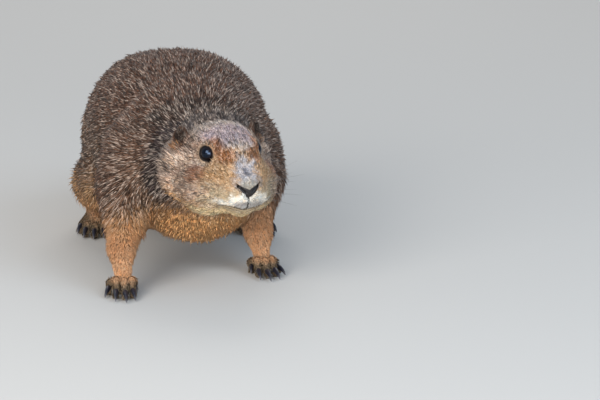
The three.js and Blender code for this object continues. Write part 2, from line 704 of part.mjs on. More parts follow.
// The origin is at the bottom centre of the animal's bounding box.
const bounds = new THREE.Box3().setFromObject(animal);
const centre = bounds.getCenter(new THREE.Vector3());
animal.position.set(-centre.x, -centre.y, -bounds.min.z);

export default animal;
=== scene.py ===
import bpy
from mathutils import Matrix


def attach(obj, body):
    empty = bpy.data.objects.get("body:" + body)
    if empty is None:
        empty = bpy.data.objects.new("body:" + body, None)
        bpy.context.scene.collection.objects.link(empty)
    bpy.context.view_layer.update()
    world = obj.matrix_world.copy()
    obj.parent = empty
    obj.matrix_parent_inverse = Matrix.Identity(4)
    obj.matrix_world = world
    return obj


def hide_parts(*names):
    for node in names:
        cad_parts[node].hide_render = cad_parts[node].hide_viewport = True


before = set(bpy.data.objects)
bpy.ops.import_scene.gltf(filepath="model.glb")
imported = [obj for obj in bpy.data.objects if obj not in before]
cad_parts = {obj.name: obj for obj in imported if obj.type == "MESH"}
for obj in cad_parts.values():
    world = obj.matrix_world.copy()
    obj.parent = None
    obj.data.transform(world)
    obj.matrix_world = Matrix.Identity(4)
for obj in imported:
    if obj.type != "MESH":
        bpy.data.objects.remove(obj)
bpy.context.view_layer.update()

import math

import bpy
import numpy as np
from mathutils import Vector

bl_info = {
    "name": "Prairie dog",
    "version": (1, 0, 0),
    "blender": (4, 5, 0),
    "location": "3D View > Sidebar > Prairie dog",
    "description": "Dresses the solids of a life-size prairie dog with skin, coat, eyes, nose and claws",
    "category": "Object",
}

# Lengths are in millimetres in the animal's own frame, before its origin was set under its middle:
# +Z up, the nose towards -Y and the animal's left at +X. Points of it are called p, points of the
# head's own frame q and points of an eye's own frame e. What trunk and head have on both sides is
# given for the left.
MM = 0.001
LEFT, RIGHT = 1, -1
SIDES = {"R": RIGHT, "L": LEFT}
UP = np.array([0, 0, 1.0])

BACK_TOP, BACK_HALF_WIDTH, BELLY_BOTTOM = 111, 51.5, 20
SHOULDER_TOP, SHOULDER_HALF_WIDTH, CHEST_BOTTOM = 103, 46, 21
SHOULDER_Y, BACK_Y, RUMP_Y = 46, 120, 160
CHEST_HALF, BACK_HALF = (SHOULDER_TOP - CHEST_BOTTOM) / 2, (BACK_TOP - BELLY_BOTTOM) / 2
BACK_Z = BELLY_BOTTOM + BACK_HALF

HEAD_AT = np.array([11.1, -6.7, 76.0])
HEAD_TURN, HEAD_NOD = math.radians(16), math.radians(12)
CHEEK_HALF_WIDTH, CROWN_TOP = 32, 16
EYE_AT, EYE_RADIUS, EYE_OUT = (12.5, -9.5, 4.7), 5, (0.84, -0.49, 0.22)
SOCKET_DEPTH, SOCKET_REACH = 2.4, 8.5
# The gap between the lids: its half width and half height, how thick the lids are over the ball, and
# the angle at which it is drawn out towards the nose, from straight back.
LID_OPENING, LID_THICKNESS, TEAR_DUCT = (4.3, 3.75), 0.7, math.radians(214)
NOSE_AT, NOSE_HALF = (0, -34.8, -7), (6.2, 4.2, 5.2)
EAR_AT, EAR_HALF = (21.3, 9.3, 5.6), (4.3, 2.6, 5.6)
EAR_HOLLOW_AT, EAR_HOLLOW_HALF = (0, -1.7, 0.3), (2.3, 2.0, 3.9)
# How far the ear is turned outwards, leans out and is tipped back.
EAR_TURN, EAR_LEAN, EAR_TIP = math.radians(40), math.radians(16), math.radians(-14)

# The rounds of trunk and head, each by its centre and half sizes: those on the middle, then those that
# both sides have. Lengths between them are given by start, radius there, end and radius there.
TRUNK_ROUNDS = {
    "chest": ((0, SHOULDER_Y, CHEST_BOTTOM + CHEST_HALF), (SHOULDER_HALF_WIDTH, 47, CHEST_HALF)),
    "withers": ((0, SHOULDER_Y + 10, SHOULDER_TOP - 31), (36, 44, 31)),
    "back": ((0, BACK_Y + 4, BACK_Z), (46, 82, BACK_HALF)),
}
TRUNK_SIDES = {
    "flank": ((BACK_HALF_WIDTH - 34, BACK_Y, BACK_Z - 2), (34, 62, BACK_HALF - 4)),
    "rump": ((BACK_HALF_WIDTH - 36, RUMP_Y, BACK_Z - 4), (34, 46, BACK_HALF - 5)),
}
HEAD_ROUNDS = {
    "crown": ((0, 0, CROWN_TOP - 15), (20.5, 23, 15)),
    "forehead": ((0, -11, 2.5), (13.5, 16, 12)),
}
HEAD_LENGTHS = {
    "snout": ((0, -14, -3), 14, (0, -29.5, -7.5), 8.8),
    "mouth": ((0, -10, -9), 17, (0, -25.5, -12), 11.2),
    "chin": ((0, -4, -17), 15, (0, -26.5, -18), 7.4),
}
HEAD_SIDES = {
    "cheek": ((CHEEK_HALF_WIDTH - 18.5, 11, -12.5), (18.5, 20, 20)),
    "lip": ((7.2, -28.2, -11.4), (8.6, 8.8, 7)),
    "cheek_front": ((12.5, -8, -12), (14, 18.5, 14)),
    "jowl": ((12, -5, -18), (15, 20, 13)),
    "brow": ((9.6, -9.5, 7.4), (5.2, 8.5, 5.6)),
    "under_eye": ((7, -18, -4.5), (9, 13, 9.5)),
}
# These start in the head's frame and end in the animal's.
NECK_LENGTHS = {
    "nape": ((0, 25, -10), 16, (0, 44, 68), 37),
    "throat": ((0, 10, -18), 20, (0, 30, 51), 29.5),
}
TAIL_ROOT, TAIL_END = (0, 205, 58), (-7, 283, 26)
# The tail's start before its root, its sag and radii, and the half width and radii of its brush.
TAIL_START, TAIL_SAG, TAIL_RADII, BRUSH_HALF, BRUSH_RADII = (0, -18, 4), 3, (19, 10.5, 8), 4.5, (11, 8.5)

FOREFEET = {
    "R": {"wrist": (-44.5, 1, 23), "elbow": (-36, 33, 47), "toe_out": 1},
    "L": {"wrist": (36, 38, 21), "elbow": (34, 55, 45), "toe_out": 4},
}
HINDFEET = {
    "R": {"heel": (-41, 182, 9), "knee": (-46, 132, 38), "toe_out": 9},
    "L": {"heel": (41, 170, 9), "knee": (46, 120, 38), "toe_out": 9},
}
# Rounds of the legs: where they lie sideways, behind the elbow or the knee, and upwards, and half sizes.
SHOULDER = ((34, 8, 60), (19, 25, 27))
THIGH = ((33, 28, 47), (20, 38, 34))
# This one is placed from the knee in all three directions.
KNEE = ((0, 6, -6), (11, 17, 17))
FOREARM_RADII, SHANK_RADII = (18.5, 6.6), (14, 8.5)
# The shank's ends: how far behind the knee and the heel, and how high.
SHANK_TOP, SHANK_END = (18, 30), (-2, 12)
# For each digit, from the inner one outwards: turn outwards in degrees, place across the foot,
# setback of its root, length of its fleshy part and length of its claw.
FORE_DIGITS = [
    (-14, -5, 6, 4.5, 4.5),
    (-4, -3.7, 1, 11, 9.5),
    (0, 0, 0, 13, 10.5),
    (5, 3.8, 2, 12, 10),
    (17, 5.8, 6.5, 9, 8.5),
]
HIND_DIGITS = [
    (-14, -7, 7, 9, 4.5),
    (-6, -4.1, 1.5, 13, 6),
    (0, 0, 0, 14, 6.5),
    (6, 4.2, 2, 12.5, 6),
    (15, 7.2, 8.5, 9, 5),
]
# A digit that turns by more degrees than this lies lower, at this share of the others' height.
OUTER_TURN, OUTER_LOW = 10, 0.68
PALM_LENGTH, SOLE_LENGTH, CLAW_RADIUS = 12, 41, 1.5
# Of the forefeet and the hindfeet: a toe's radius, and the heights of its root and its knuckle.
FORE_TOES, HIND_TOES = (2.1, 7.6, 8.8), (2.45, 5, 6)
# How far the claw is set back into its toe, and the height of its end over the floor. The heights of
# the toe's tip and of the claw's root and back are in radii of the toe.
CLAW_SETBACK, CLAW_END_Z = 1.2, 0.65
TIP_HIGH, CLAW_ROOT_HIGH, CLAW_BACK_HIGH = 0.95, 1.8, 1.95
# A toe's radius at its root, knuckle and tip, in its own radius.
TOE_TAPER = (1.08, 1, 0.92)
# Radii of the palm from the wrist to the ball, of the pad under it from its own start, and of the
# widenings to the outer digits, and the heights where these start and end. The same for the sole.
PALM_RADII, PALM_END_Z, PALM_SIDE_RADII = (6.2, 4.2), 6.8, (3.8, 2.6)
PAD_SHARE, PAD_Z, PAD_RADII, PAD_END_Z = 0.6, 3.6, (4.2, 4.3), 3.8
SOLE_Z, SOLE_RADII, SOLE_END_Z, SOLE_SIDE_RADII = 6.6, (7, 5.4), 4.6, (5.6, 4.2)
# How widely forms run into each other, as merge takes it.
SOFT = {
    "head": 5, "trunk": 12, "neck": 10, "whole_trunk": 14, "tail": 8, "foreleg": 12, "hindleg": 10,
    "leg_to_body": 9, "head_to_body": 3, "foot_to_leg": 7, "palm": 3, "toe": 1.5, "foot": 1.8,
}
# The crease where the cheeks meet the neck, and the heights between which it runs out.
CREASE_DEPTH, CREASE_HALF_WIDTH, CREASE_TOP = 1.1, 1.6, (82, 92)
# Past these the head and the feet are too far to matter: how far back, how high and how far out.
HEAD_REACH_Y, FOOT_REACH_Z, FOOT_REACH = 60, 40, 52
# The plane where the head meets the neck, in the head's frame: a place on it, its tilt, and how far
# before and behind it the head's coat runs out.
HEAD_END_AT, HEAD_END_TILT, HEAD_END_REACH = (0, 15, -3), math.radians(28), (-2, 9)
# The mouth's line, in the head's frame: its lowest height, how far it rises and over what width.
MOUTH_Z, MOUTH_RISE, MOUTH_WIDTH = -18.4, 2.2, 6
# How deep the V of the nose, the philtrum and the mouth are pressed in.
SLIT_DEPTH, PHILTRUM_DEPTH, MOUTH_DEPTH = 2.1, 0.8, 1.8
# The nose's end in the head's frame, from which the coat of the head runs outwards.
COAT_START = np.array([0, -41, -9])

LEG_PARTS = ("foreleg_upper", "foreleg_lower", "forefoot", "hindleg_upper", "hindleg_lower", "hindfoot")
FLESH_NODES = ["head", "lower_jaw", "neck", "torso", "hindquarters", "tail_base", "tail_tip"] + [
    f"{part}_{side}" for side in SIDES for part in ("ear", *LEG_PARTS)
]


def rotation(turn, nod):
    """The matrix of a nod about X followed by a turn about Z."""
    c, s, cn, sn = math.cos(turn), math.sin(turn), math.cos(nod), math.sin(nod)
    about_z = np.array([[c, -s, 0], [s, c, 0], [0, 0, 1]])
    return about_z @ np.array([[1, 0, 0], [0, cn, -sn], [0, sn, cn]])


HEAD_AXES = rotation(HEAD_TURN, HEAD_NOD)


def from_head(q):
    """Points of the head's frame in the animal's frame."""
    return np.asarray(q, float) @ HEAD_AXES.T + HEAD_AT


def to_head(p):
    """Points of the animal's frame in the head's frame, whose origin is the skull's centre."""
    return (p - HEAD_AT.astype(p.dtype)) @ HEAD_AXES.astype(p.dtype)


def mirror(point, side):
    """A point of the left side, carried to either side."""
    return np.array([point[0] * side, point[1], point[2]], float)


def node_middle(name):
    """The mean of a node's vertices in millimetres, which for a round eye is its centre."""
    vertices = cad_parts[name].data.vertices
    places = np.empty(len(vertices) * 3)
    vertices.foreach_get("co", places)
    return places.reshape(-1, 3).mean(0) / MM


# From the animal's frame to the model's, whose origin lies on the floor under its middle.
SHIFT = node_middle("eye_R") - from_head(mirror(EYE_AT, RIGHT))


def unit(v):
    """Vectors at length one."""
    return v / np.maximum(np.linalg.norm(v, axis=-1, keepdims=True), 1e-9)


def ramp(x, low, high):
    """A smooth step from 0 at low to 1 at high."""
    t = np.clip((x - low) / (high - low), 0, 1)
    return t * t * (3 - 2 * t)


def fall(x, low, high):
    """A smooth step from 1 at low to 0 at high."""
    return 1 - ramp(x, low, high)


def bell(x, width):
    """1 at 0, falling off to both sides: e to the power of -(x / width)^2."""
    return np.exp(-((x / width) ** 2))


def mix(a, b, share):
    """a where share is 0 and b where it is 1."""
    return a + (b - a) * share


def waves(p, size, seed):
    """Smooth noise from about -1 to 1: a sum of seven sine waves that cross in random directions."""
    rng = np.random.default_rng(seed)
    total = np.zeros(p.shape[:-1], p.dtype)
    for _ in range(7):
        way = unit(rng.normal(size=3)) * (2 * math.pi / size) * rng.uniform(0.6, 1.5)
        total += np.sin(p @ way.astype(p.dtype) + rng.uniform(0, 2 * math.pi))
    return total / 2.6


# The forms of the body: each gives the distance of points outside its surface.


def ellipsoid(p, centre, half):
    """k(k - 1) over the slope of k, where k is the length of the point taken in half sizes."""
    half = np.asarray(half, p.dtype)
    scaled = (p - np.asarray(centre, p.dtype)) / half
    k = np.linalg.norm(scaled, axis=-1)
    return k * (k - 1) / np.maximum(np.linalg.norm(scaled / half, axis=-1), 1e-6)


def limb(p, start, start_radius, end, end_radius):
    """Distance to a line from start to end, less a radius that changes evenly along it."""
    start, end = np.asarray(start, p.dtype), np.asarray(end, p.dtype)
    along = end - start
    t = np.clip((p - start) @ along / (along @ along), 0, 1)
    away = np.linalg.norm(p - start - t[..., None] * along, axis=-1)
    return away - start_radius - t * (end_radius - start_radius)


def merge(width, *distances):
    """The least distance, rounded where two are within width: min - width h^2 / 4, h = 1 - gap / width."""
    total = distances[0]
    for other in distances[1:]:
        h = np.clip(width - np.abs(total - other), 0, None) / width
        total = np.minimum(total, other) - h * h * width / 4
    return total


def both_sides(p, rounds):
    """Distances outside the ellipsoids of the left side, and outside those of the right side."""
    return [
        ellipsoid(p, mirror(centre, side), half)
        for side in (LEFT, RIGHT)
        for centre, half in rounds.values()
    ]


def head_form(p):
    """Skull, snout, cheeks and brows, with a bell pressed in at each eye as its socket."""
    q = to_head(p)
    forms = [ellipsoid(q, *one) for one in HEAD_ROUNDS.values()]
    forms += [limb(q, *one) for one in HEAD_LENGTHS.values()]
    socket = SOCKET_DEPTH * bell(eye_distance(q), SOCKET_REACH)
    return merge(SOFT["head"], *forms, *both_sides(q, HEAD_SIDES)) + socket


def trunk_form(p):
    """Chest, back and rump as crossing ellipsoids, with the neck and tail blended in."""
    trunk = [ellipsoid(p, *one) for one in TRUNK_ROUNDS.values()] + both_sides(p, TRUNK_SIDES)
    neck = [limb(p, from_head(start), *rest) for start, *rest in NECK_LENGTHS.values()]
    trunk, neck = merge(SOFT["trunk"], *trunk), merge(SOFT["neck"], *neck)
    return merge(SOFT["whole_trunk"], trunk, neck, tail_form(p))


def tail_form(p):
    """Two tapered lengths with a slight sag between them, widened by a brush on each side."""
    root, end = np.array(TAIL_ROOT, float), np.array(TAIL_END, float)
    first, second, last = TAIL_RADII
    middle = mix(root, end, 0.55) - (0, 0, TAIL_SAG)
    forms = [limb(p, root + TAIL_START, first, middle, second), limb(p, middle, second, end, last)]
    for side in (LEFT, RIGHT):
        aside = (side * BRUSH_HALF, 0, 0)
        forms.append(limb(p, root + aside, BRUSH_RADII[0], end + aside, BRUSH_RADII[1]))
    return merge(SOFT["tail"], *forms)


def fore_leg_form(p, side, leg):
    """Shoulder and forearm."""
    (x, behind, z), half = SHOULDER
    shoulder = ellipsoid(p, mirror((x, leg["elbow"][1] + behind, z), side), half)
    forearm = limb(p, leg["elbow"], FOREARM_RADII[0], leg["wrist"], FOREARM_RADII[1])
    return merge(SOFT["foreleg"], shoulder, forearm)


def hind_leg_form(p, side, leg):
    """Thigh, knee and shank."""
    knee, heel = leg["knee"], leg["heel"]
    (x, behind, z), half = THIGH
    thigh = ellipsoid(p, mirror((x, knee[1] + behind, z), side), half)
    joint = ellipsoid(p, np.add(knee, KNEE[0]), KNEE[1])
    top = (knee[0], knee[1] + SHANK_TOP[0], SHANK_TOP[1])
    end = (heel[0], heel[1] + SHANK_END[0], SHANK_END[1])
    return merge(SOFT["hindleg"], thigh, joint, limb(p, top, SHANK_RADII[0], end, SHANK_RADII[1]))


def heading(angle):
    """The level way that is turned by an angle from straight ahead, towards the animal's left."""
    return np.array([math.sin(angle), -math.cos(angle), 0])


def foot_plan(side, digits, back, toe_out, length, toes):
    """Where a foot's ball lies, and the root, knuckle, tip and claw of each of its digits."""
    toe_radius, root_height, knuckle_height = toes
    turn = math.radians(side * toe_out)
    back = np.array(back, float)
    ahead = heading(turn)
    across = np.array([math.cos(turn), math.sin(turn), 0])
    ball = back + ahead * length
    plans = []
    for digit_turn, place, setback, reach, claw in digits:
        low = OUTER_LOW if abs(digit_turn) > OUTER_TURN else 1
        forward = heading(turn + math.radians(side * digit_turn))
        root = ball - ahead * setback + across * side * place

        def at(distance, height):
            return np.array([*(root + forward * distance)[:2], height])

        plans.append({
            "root": at(0, root_height * low),
            "knuckle": at(reach * 0.5, knuckle_height * low),
            "tip": at(reach, toe_radius * TIP_HIGH),
            "claw": [
                at(reach - CLAW_SETBACK, toe_radius * CLAW_ROOT_HIGH),
                at(reach + claw * 0.5, toe_radius * CLAW_BACK_HIGH),
                at(reach + claw, CLAW_END_Z),
            ],
        })
    return {"back": back, "ball": ball, "toe_radius": toe_radius, "digits": plans}


def plan_feet(kind, legs, joint, digits, length, toes):
    """The plans of both feet of one kind, by name."""
    return {
        f"{kind}_{name}": foot_plan(SIDES[name], digits, leg[joint], leg["toe_out"], length, toes)
        for name, leg in legs.items()
    }


FEET = {
    **plan_feet("forefoot", FOREFEET, "wrist", FORE_DIGITS, PALM_LENGTH, FORE_TOES),
    **plan_feet("hindfoot", HINDFEET, "heel", HIND_DIGITS, SOLE_LENGTH, HIND_TOES),
}


def foot_form(p, kind, foot):
    """The palm or sole with a widening towards the outer digits, and each digit in two lengths."""
    back, ball, digits = foot["back"], foot["ball"], foot["digits"]
    outer = [digits[n]["root"] for n in (0, -1)]
    if kind.startswith("fore"):
        start, widths = (*mix(back, ball, PAD_SHARE)[:2], PAD_Z), PALM_SIDE_RADII
        top = limb(p, back, PALM_RADII[0], (*ball[:2], PALM_END_Z), PALM_RADII[1])
        pad = limb(p, start, PAD_RADII[0], (*ball[:2], PAD_END_Z), PAD_RADII[1])
        palm = merge(SOFT["palm"], top, pad)
    else:
        start, widths = (*back[:2], SOLE_Z), SOLE_SIDE_RADII
        palm = limb(p, start, SOLE_RADII[0], (*ball[:2], SOLE_END_Z), SOLE_RADII[1])
    wide = [limb(p, start, widths[0], root, widths[1]) for root in outer]
    at_root, at_knuckle, at_tip = (foot["toe_radius"] * share for share in TOE_TAPER)
    toes = [
        merge(
            SOFT["toe"],
            limb(p, digit["root"], at_root, digit["knuckle"], at_knuckle),
            limb(p, digit["knuckle"], at_knuckle, digit["tip"], at_tip),
        )
        for digit in digits
    ]
    return merge(SOFT["foot"], palm, *wide, *toes)


def body_form(p):
    """Trunk and legs."""
    whole = trunk_form(p)
    for name, side in SIDES.items():
        for form, leg in ((fore_leg_form, FOREFEET[name]), (hind_leg_form, HINDFEET[name])):
            whole = merge(SOFT["leg_to_body"], whole, form(p, side, leg))
    return whole


def flesh(p):
    """Distance outside the whole coat: the body everywhere, with the head and the feet merged in near
    themselves, and a crease pressed in as a bell where the cheeks meet the neck."""
    whole = body_form(p)
    near = p[..., 1] < HEAD_REACH_Y
    head = head_form(p[near])
    crease = bell(head - whole[near], CREASE_HALF_WIDTH) * fall(p[near][..., 2], *CREASE_TOP)
    whole[near] = merge(SOFT["head_to_body"], whole[near], head) + CREASE_DEPTH * crease
    for kind, foot in FEET.items():
        middle = mix(foot["back"], foot["ball"], PAD_SHARE)[:2].astype(p.dtype)
        near = (p[..., 2] < FOOT_REACH_Z) & (np.abs(p[..., :2] - middle).max(-1) < FOOT_REACH)
        whole[near] = merge(SOFT["foot_to_leg"], whole[near], foot_form(p[near], kind, foot))
    return whole


# Fields over the body: how deep the coat is, which way it lies and how it is marked.

# How deep the coat is over the skin.
DEPTHS = {
    "body": 2.9, "legs": 1.2, "feet": 0.6, "tail": 4.6, "nape": 2.6,
    "face": 0.9, "cheek": 2.1, "snout": 0.42, "lids": 0.45, "ears": 0.5,
}


def headness(p):
    """1 on the head and 0 on the body, across the tilted plane where the head meets the neck."""
    q = to_head(p) - np.array(HEAD_END_AT, p.dtype)
    along = q[..., 1] * math.cos(HEAD_END_TILT) - q[..., 2] * math.sin(HEAD_END_TILT)
    return fall(along, *HEAD_END_REACH)


def legness(p):
    """1 out where the legs are and 0 along the animal's middle."""
    return ramp(np.abs(p[..., 0]), 14, 24)


def coat_depth(p):
    """Depth of the coat over the skin: least on the snout and feet, most on the tail."""
    y, z = p[..., 1], p[..., 2]
    legs = legness(p)
    fore = fall(z, 16, 52) * fall(y, 70, 80) * legs
    hind = fall(z, 12, 30) * ramp(y, 70, 80) * legs
    depth = mix(DEPTHS["body"], DEPTHS["legs"], np.maximum(fore, hind))
    depth = mix(depth, DEPTHS["feet"], fall(z, 9, 18) * legs)
    depth = mix(depth, DEPTHS["tail"], ramp(y, 200, 225))
    depth = mix(depth, DEPTHS["nape"], fall(np.abs(y - 16), 8, 24) * ramp(z, 40, 60))
    q = to_head(p)
    face = mix(DEPTHS["face"], DEPTHS["cheek"], ramp(q[..., 1], -20, 8))
    face = mix(face, face * 0.7, ramp(q[..., 2], -4, 6))
    face = mix(DEPTHS["snout"], face, ramp(q[..., 1], -35, -24))
    face = mix(DEPTHS["lids"], face, ramp(lid_edge(in_eye(q)), 0.6, 4))
    face = mix(DEPTHS["ears"], face, ramp(ear_distance(q), 0.4, 2.4))
    return mix(depth, face, headness(p))


def folded(q):
    """Points of the head's frame, with those of its right side carried to the left."""
    return np.stack([np.abs(q[..., 0]), q[..., 1], q[..., 2]], -1)


def eye_distance(q):
    """Distance of points in the head's frame from the nearer eye's centre."""
    return np.linalg.norm(folded(q) - np.array(EYE_AT, q.dtype), axis=-1)


def in_eye(q):
    """Points of the head's frame in the nearer eye's own frame: rearwards, upwards and outwards."""
    out = unit(np.array(EYE_OUT, float))
    back = unit(np.array([-out[1], out[0], 0]))
    axes = np.stack([back, np.cross(out, back), out], 1)
    return (folded(q) - np.array(EYE_AT, q.dtype)) @ axes.astype(q.dtype)


def lid_edge(e):
    """How far points of the eye's frame lie outside the gap between the lids, seen straight on: an
    oval that is drawn out as a bell round the angle of the tear duct."""
    angle = np.arctan2(e[..., 1], e[..., 0])
    from_duct = (angle - TEAR_DUCT + np.pi) % (2 * np.pi) - np.pi
    reach = 1 + 0.55 * bell(from_duct, 0.33)
    return (np.hypot(e[..., 0] / LID_OPENING[0], e[..., 1] / LID_OPENING[1]) - reach) * LID_OPENING[1]


def in_ear(q):
    """Points of the head's frame in the nearer ear's own frame, with its hollow towards -Y."""
    c, s = math.cos(EAR_LEAN), math.sin(EAR_LEAN)
    lean = np.array([[c, 0, s], [0, 1, 0], [-s, 0, c]])
    axes = rotation(EAR_TURN, 0) @ lean @ rotation(0, EAR_TIP)
    return (folded(q) - np.array(EAR_AT, q.dtype)) @ axes.astype(q.dtype)


def ear_distance(q):
    """How far points of the head's frame lie outside the nearer ear."""
    return ellipsoid(in_ear(q), (0, 0, 0), EAR_HALF)


def mouth_gap(q):
    """Height over the line of the mouth, which is lowest in the middle and rises to both sides."""
    return q[..., 2] - MOUTH_Z - MOUTH_RISE * (1 - bell(q[..., 0], MOUTH_WIDTH))


def mouth_line(q):
    """1 along the line of the mouth and 0 away from it: a bell over the height, at the front only."""
    return bell(mouth_gap(q), 0.9) * fall(np.abs(q[..., 0]), 9, 13) * (q[..., 1] < -20)


def nose_slit(q):
    """1 in the V of the nose and 0 outside it. The middle of the V climbs as -8.9 + 0.55 x + 0.02 x^2
    and it narrows towards its ends, which are the nostrils."""
    x, y, z = np.abs(q[..., 0]), q[..., 1], q[..., 2]
    off = (z + 8.9 - 0.55 * x - 0.02 * x * x) / mix(2.4, 1.2, ramp(x, 1, 6.4))
    return np.exp(-(off**4)) * fall(x, 6, 7) * fall(y, -32, -28)


def philtrum(q):
    """1 along the upright groove from the nose to the mouth and 0 away from it."""
    upright = fall(np.abs(q[..., 2] + 13.9), 3.2, 4.4)
    return bell(q[..., 0], 0.6) * upright * fall(q[..., 1], -30, -28)


def skin_field(p):
    """Distance outside the skin: the coat's surface sunk by its depth, with a shell of lids round
    each eye that is cut by its gap, hollow ears, and grooves at the nose, philtrum and mouth."""
    field = flesh(p) + coat_depth(p)
    near = p[..., 1] < 20
    q = to_head(p[near])
    e = in_eye(q)
    away = np.linalg.norm(e, axis=-1)
    face = merge(1.4, field[near], away - EYE_RADIUS - LID_THICKNESS)
    gap = np.maximum(np.maximum(lid_edge(e), -e[..., 2]), EYE_RADIUS - 0.4 - away)
    face = -merge(0.6, -face, gap)
    face = merge(1.5, face, ear_distance(q))
    face = -merge(0.8, -face, ellipsoid(in_ear(q), EAR_HOLLOW_AT, EAR_HOLLOW_HALF))
    face += SLIT_DEPTH * nose_slit(q) + PHILTRUM_DEPTH * philtrum(q) + MOUTH_DEPTH * mouth_line(q)
    field[near] = face
    return np.maximum(field, 0.25 - p[..., 2])


def lie(p, normal):
    """The way the coat lies, along the surface: back from the nose over the head, away from the eyes,
    up the ears, back and down over the body, down the legs, forward over the feet and along the tail."""
    x, y, z = np.abs(p[..., 0]), p[..., 1], p[..., 2]
    way = np.stack([0 * x, 1 + 0 * x, -0.42 + 0 * x], -1)
    legs = legness(p)
    fore = fall(z, 34, 66) * fall(y, 60, 80)
    hind = fall(z, 14, 34) * ramp(y, 80, 95)
    way = mix(way, np.array([0, 0.1, -1.0]), (legs * np.maximum(fore, hind))[..., None])
    way = mix(way, np.array([0, -1.0, -0.25]), (legs * fall(z, 9, 19))[..., None])
    tail = unit(np.array(TAIL_END, float) - TAIL_ROOT)
    way = mix(way, tail, ramp(y, 195, 215)[..., None])
    q = to_head(p)
    spread = unit((q - COAT_START) * np.array([1.0, 1.0, 1.15]))
    from_eye = folded(q) - np.array(EYE_AT)
    from_eye[..., 0] *= np.sign(q[..., 0])
    spread = mix(spread, unit(from_eye), (0.75 * fall(eye_distance(q), 6, 11))[..., None])
    on_ear = fall(ear_distance(q), 0.3, 2)
    spread = mix(spread, np.array([0, 0.35, 1.0]), on_ear[..., None])
    way = mix(way, spread @ HEAD_AXES.T, headness(p)[..., None])
    return unit(way - normal * np.sum(way * normal, -1, keepdims=True))


def linear(red, green, blue):
    """A colour given in the 0 to 255 of a screen, as linear light."""
    c = np.array([red, green, blue]) / 255
    return np.where(c <= 0.04045, c / 12.92, ((c + 0.055) / 1.055) ** 2.4)


TONES = {
    name: linear(*screen)
    for name, screen in {
        "back": (110, 77, 60),
        "flank": (118, 90, 70),
        "shoulder": (122, 90, 72),
        # Partly dark hair and partly painted shade, behind the crown.
        "nape": (72, 54, 46),
        "arm": (176, 129, 91),
        "wrist": (214, 164, 122),
        "toe": (112, 96, 76),
        "belly": (206, 160, 112),
        "throat": (222, 168, 112),
        "tail": (150, 116, 92),
        "tail_tip": (44, 36, 32),
        "crown": (212, 196, 186),
        "forehead": (196, 176, 182),
        "orange": (158, 98, 53),
        "bridge": (192, 154, 112),
        "nose_top": (190, 186, 190),
        "nose_tip": (184, 175, 161),
        "smoke": (104, 106, 120),
        "streak": (236, 212, 188),
        "temple": (166, 138, 120),
        "under_eye": (148, 134, 126),
        "russet": (152, 88, 50),
        "dusk": (108, 86, 76),
        "cheek": (196, 164, 142),
        "cheek_rear": (190, 168, 156),
        "cheek_low": (238, 180, 114),
        # Partly dark hair and partly painted shade, in the crease behind the cheeks and the crown.
        "crease": (64, 56, 58),
        "muzzle": (194, 174, 143),
        "lip": (240, 234, 222),
        "lip_grey": (146, 144, 150),
        "lip_line": (34, 28, 28),
        "chin": (250, 222, 172),
        "lid": (26, 21, 20),
        "lid_skin": (178, 150, 120),
        "nose": (20, 17, 18),
        "ear": (88, 60, 44),
        "ear_hollow": (44, 30, 22),
        "ear_tan": (196, 140, 92),
        "eye": (4, 4, 7),
        "iris": (20, 14, 12),
        "nose_pad": (28, 24, 25),
        "nostril": (8, 6, 6),
        "claw": (28, 29, 40),
        "claw_end": (84, 82, 86),
        "whisker": (78, 66, 60),
    }.items()
}

# Spots of the head's coat, laid in turn: tone, strength, place and half sizes.
SPOTS = {
    "cheek": [
        ("temple", 1, (20, -2, 4), (7, 11, 8)),
        ("under_eye", 1, (17, -14, -2), (7, 8, 5)),
        ("dusk", 0.55, (24.4, -17, -11), (3.5, 5, 3)),
        ("dusk", 0.35, (27, -2, -8), (3, 4, 8)),
        ("lip", 0.6, (24.1, -7.8, -4.5), (2.4, 2.6, 3.4)),
    ],
    "before_eye": [("russet", 0.65, (21, -15.5, -4.5), (7, 7, 6))],
    "brow": [
        ("orange", 0.9, (12.2, -15, 9.2), (6, 9, 4.6)),
        ("orange", 0.85, (7.5, -23, 6.2), (7, 5.5, 5)),
    ],
    "nose": [("smoke", 0.8, (0, -32, 1.2), (2, 4.5, 3))],
    "lip": [("lip_grey", 0.6, (3.4, -37.2, -14.4), (5, 4.5, 3.2))],
}


def lay(colour, name, share):
    """A tone laid over colours, as strongly as share says at each point."""
    return mix(colour, TONES[name], np.clip(share, 0, 1)[..., None])


def spot(q, centre, half):
    """1 near a place of the head's left or right side, falling off to 0 past its half sizes."""
    away = np.linalg.norm((folded(q) - np.array(centre)) / np.array(half), axis=-1)
    return fall(away, 0.45, 1.15)


def lay_spots(colour, q, group):
    """The spots of one group laid over colours."""
    for name, strength, centre, half in SPOTS[group]:
        colour = lay(colour, name, strength * spot(q, centre, half))
    return colour


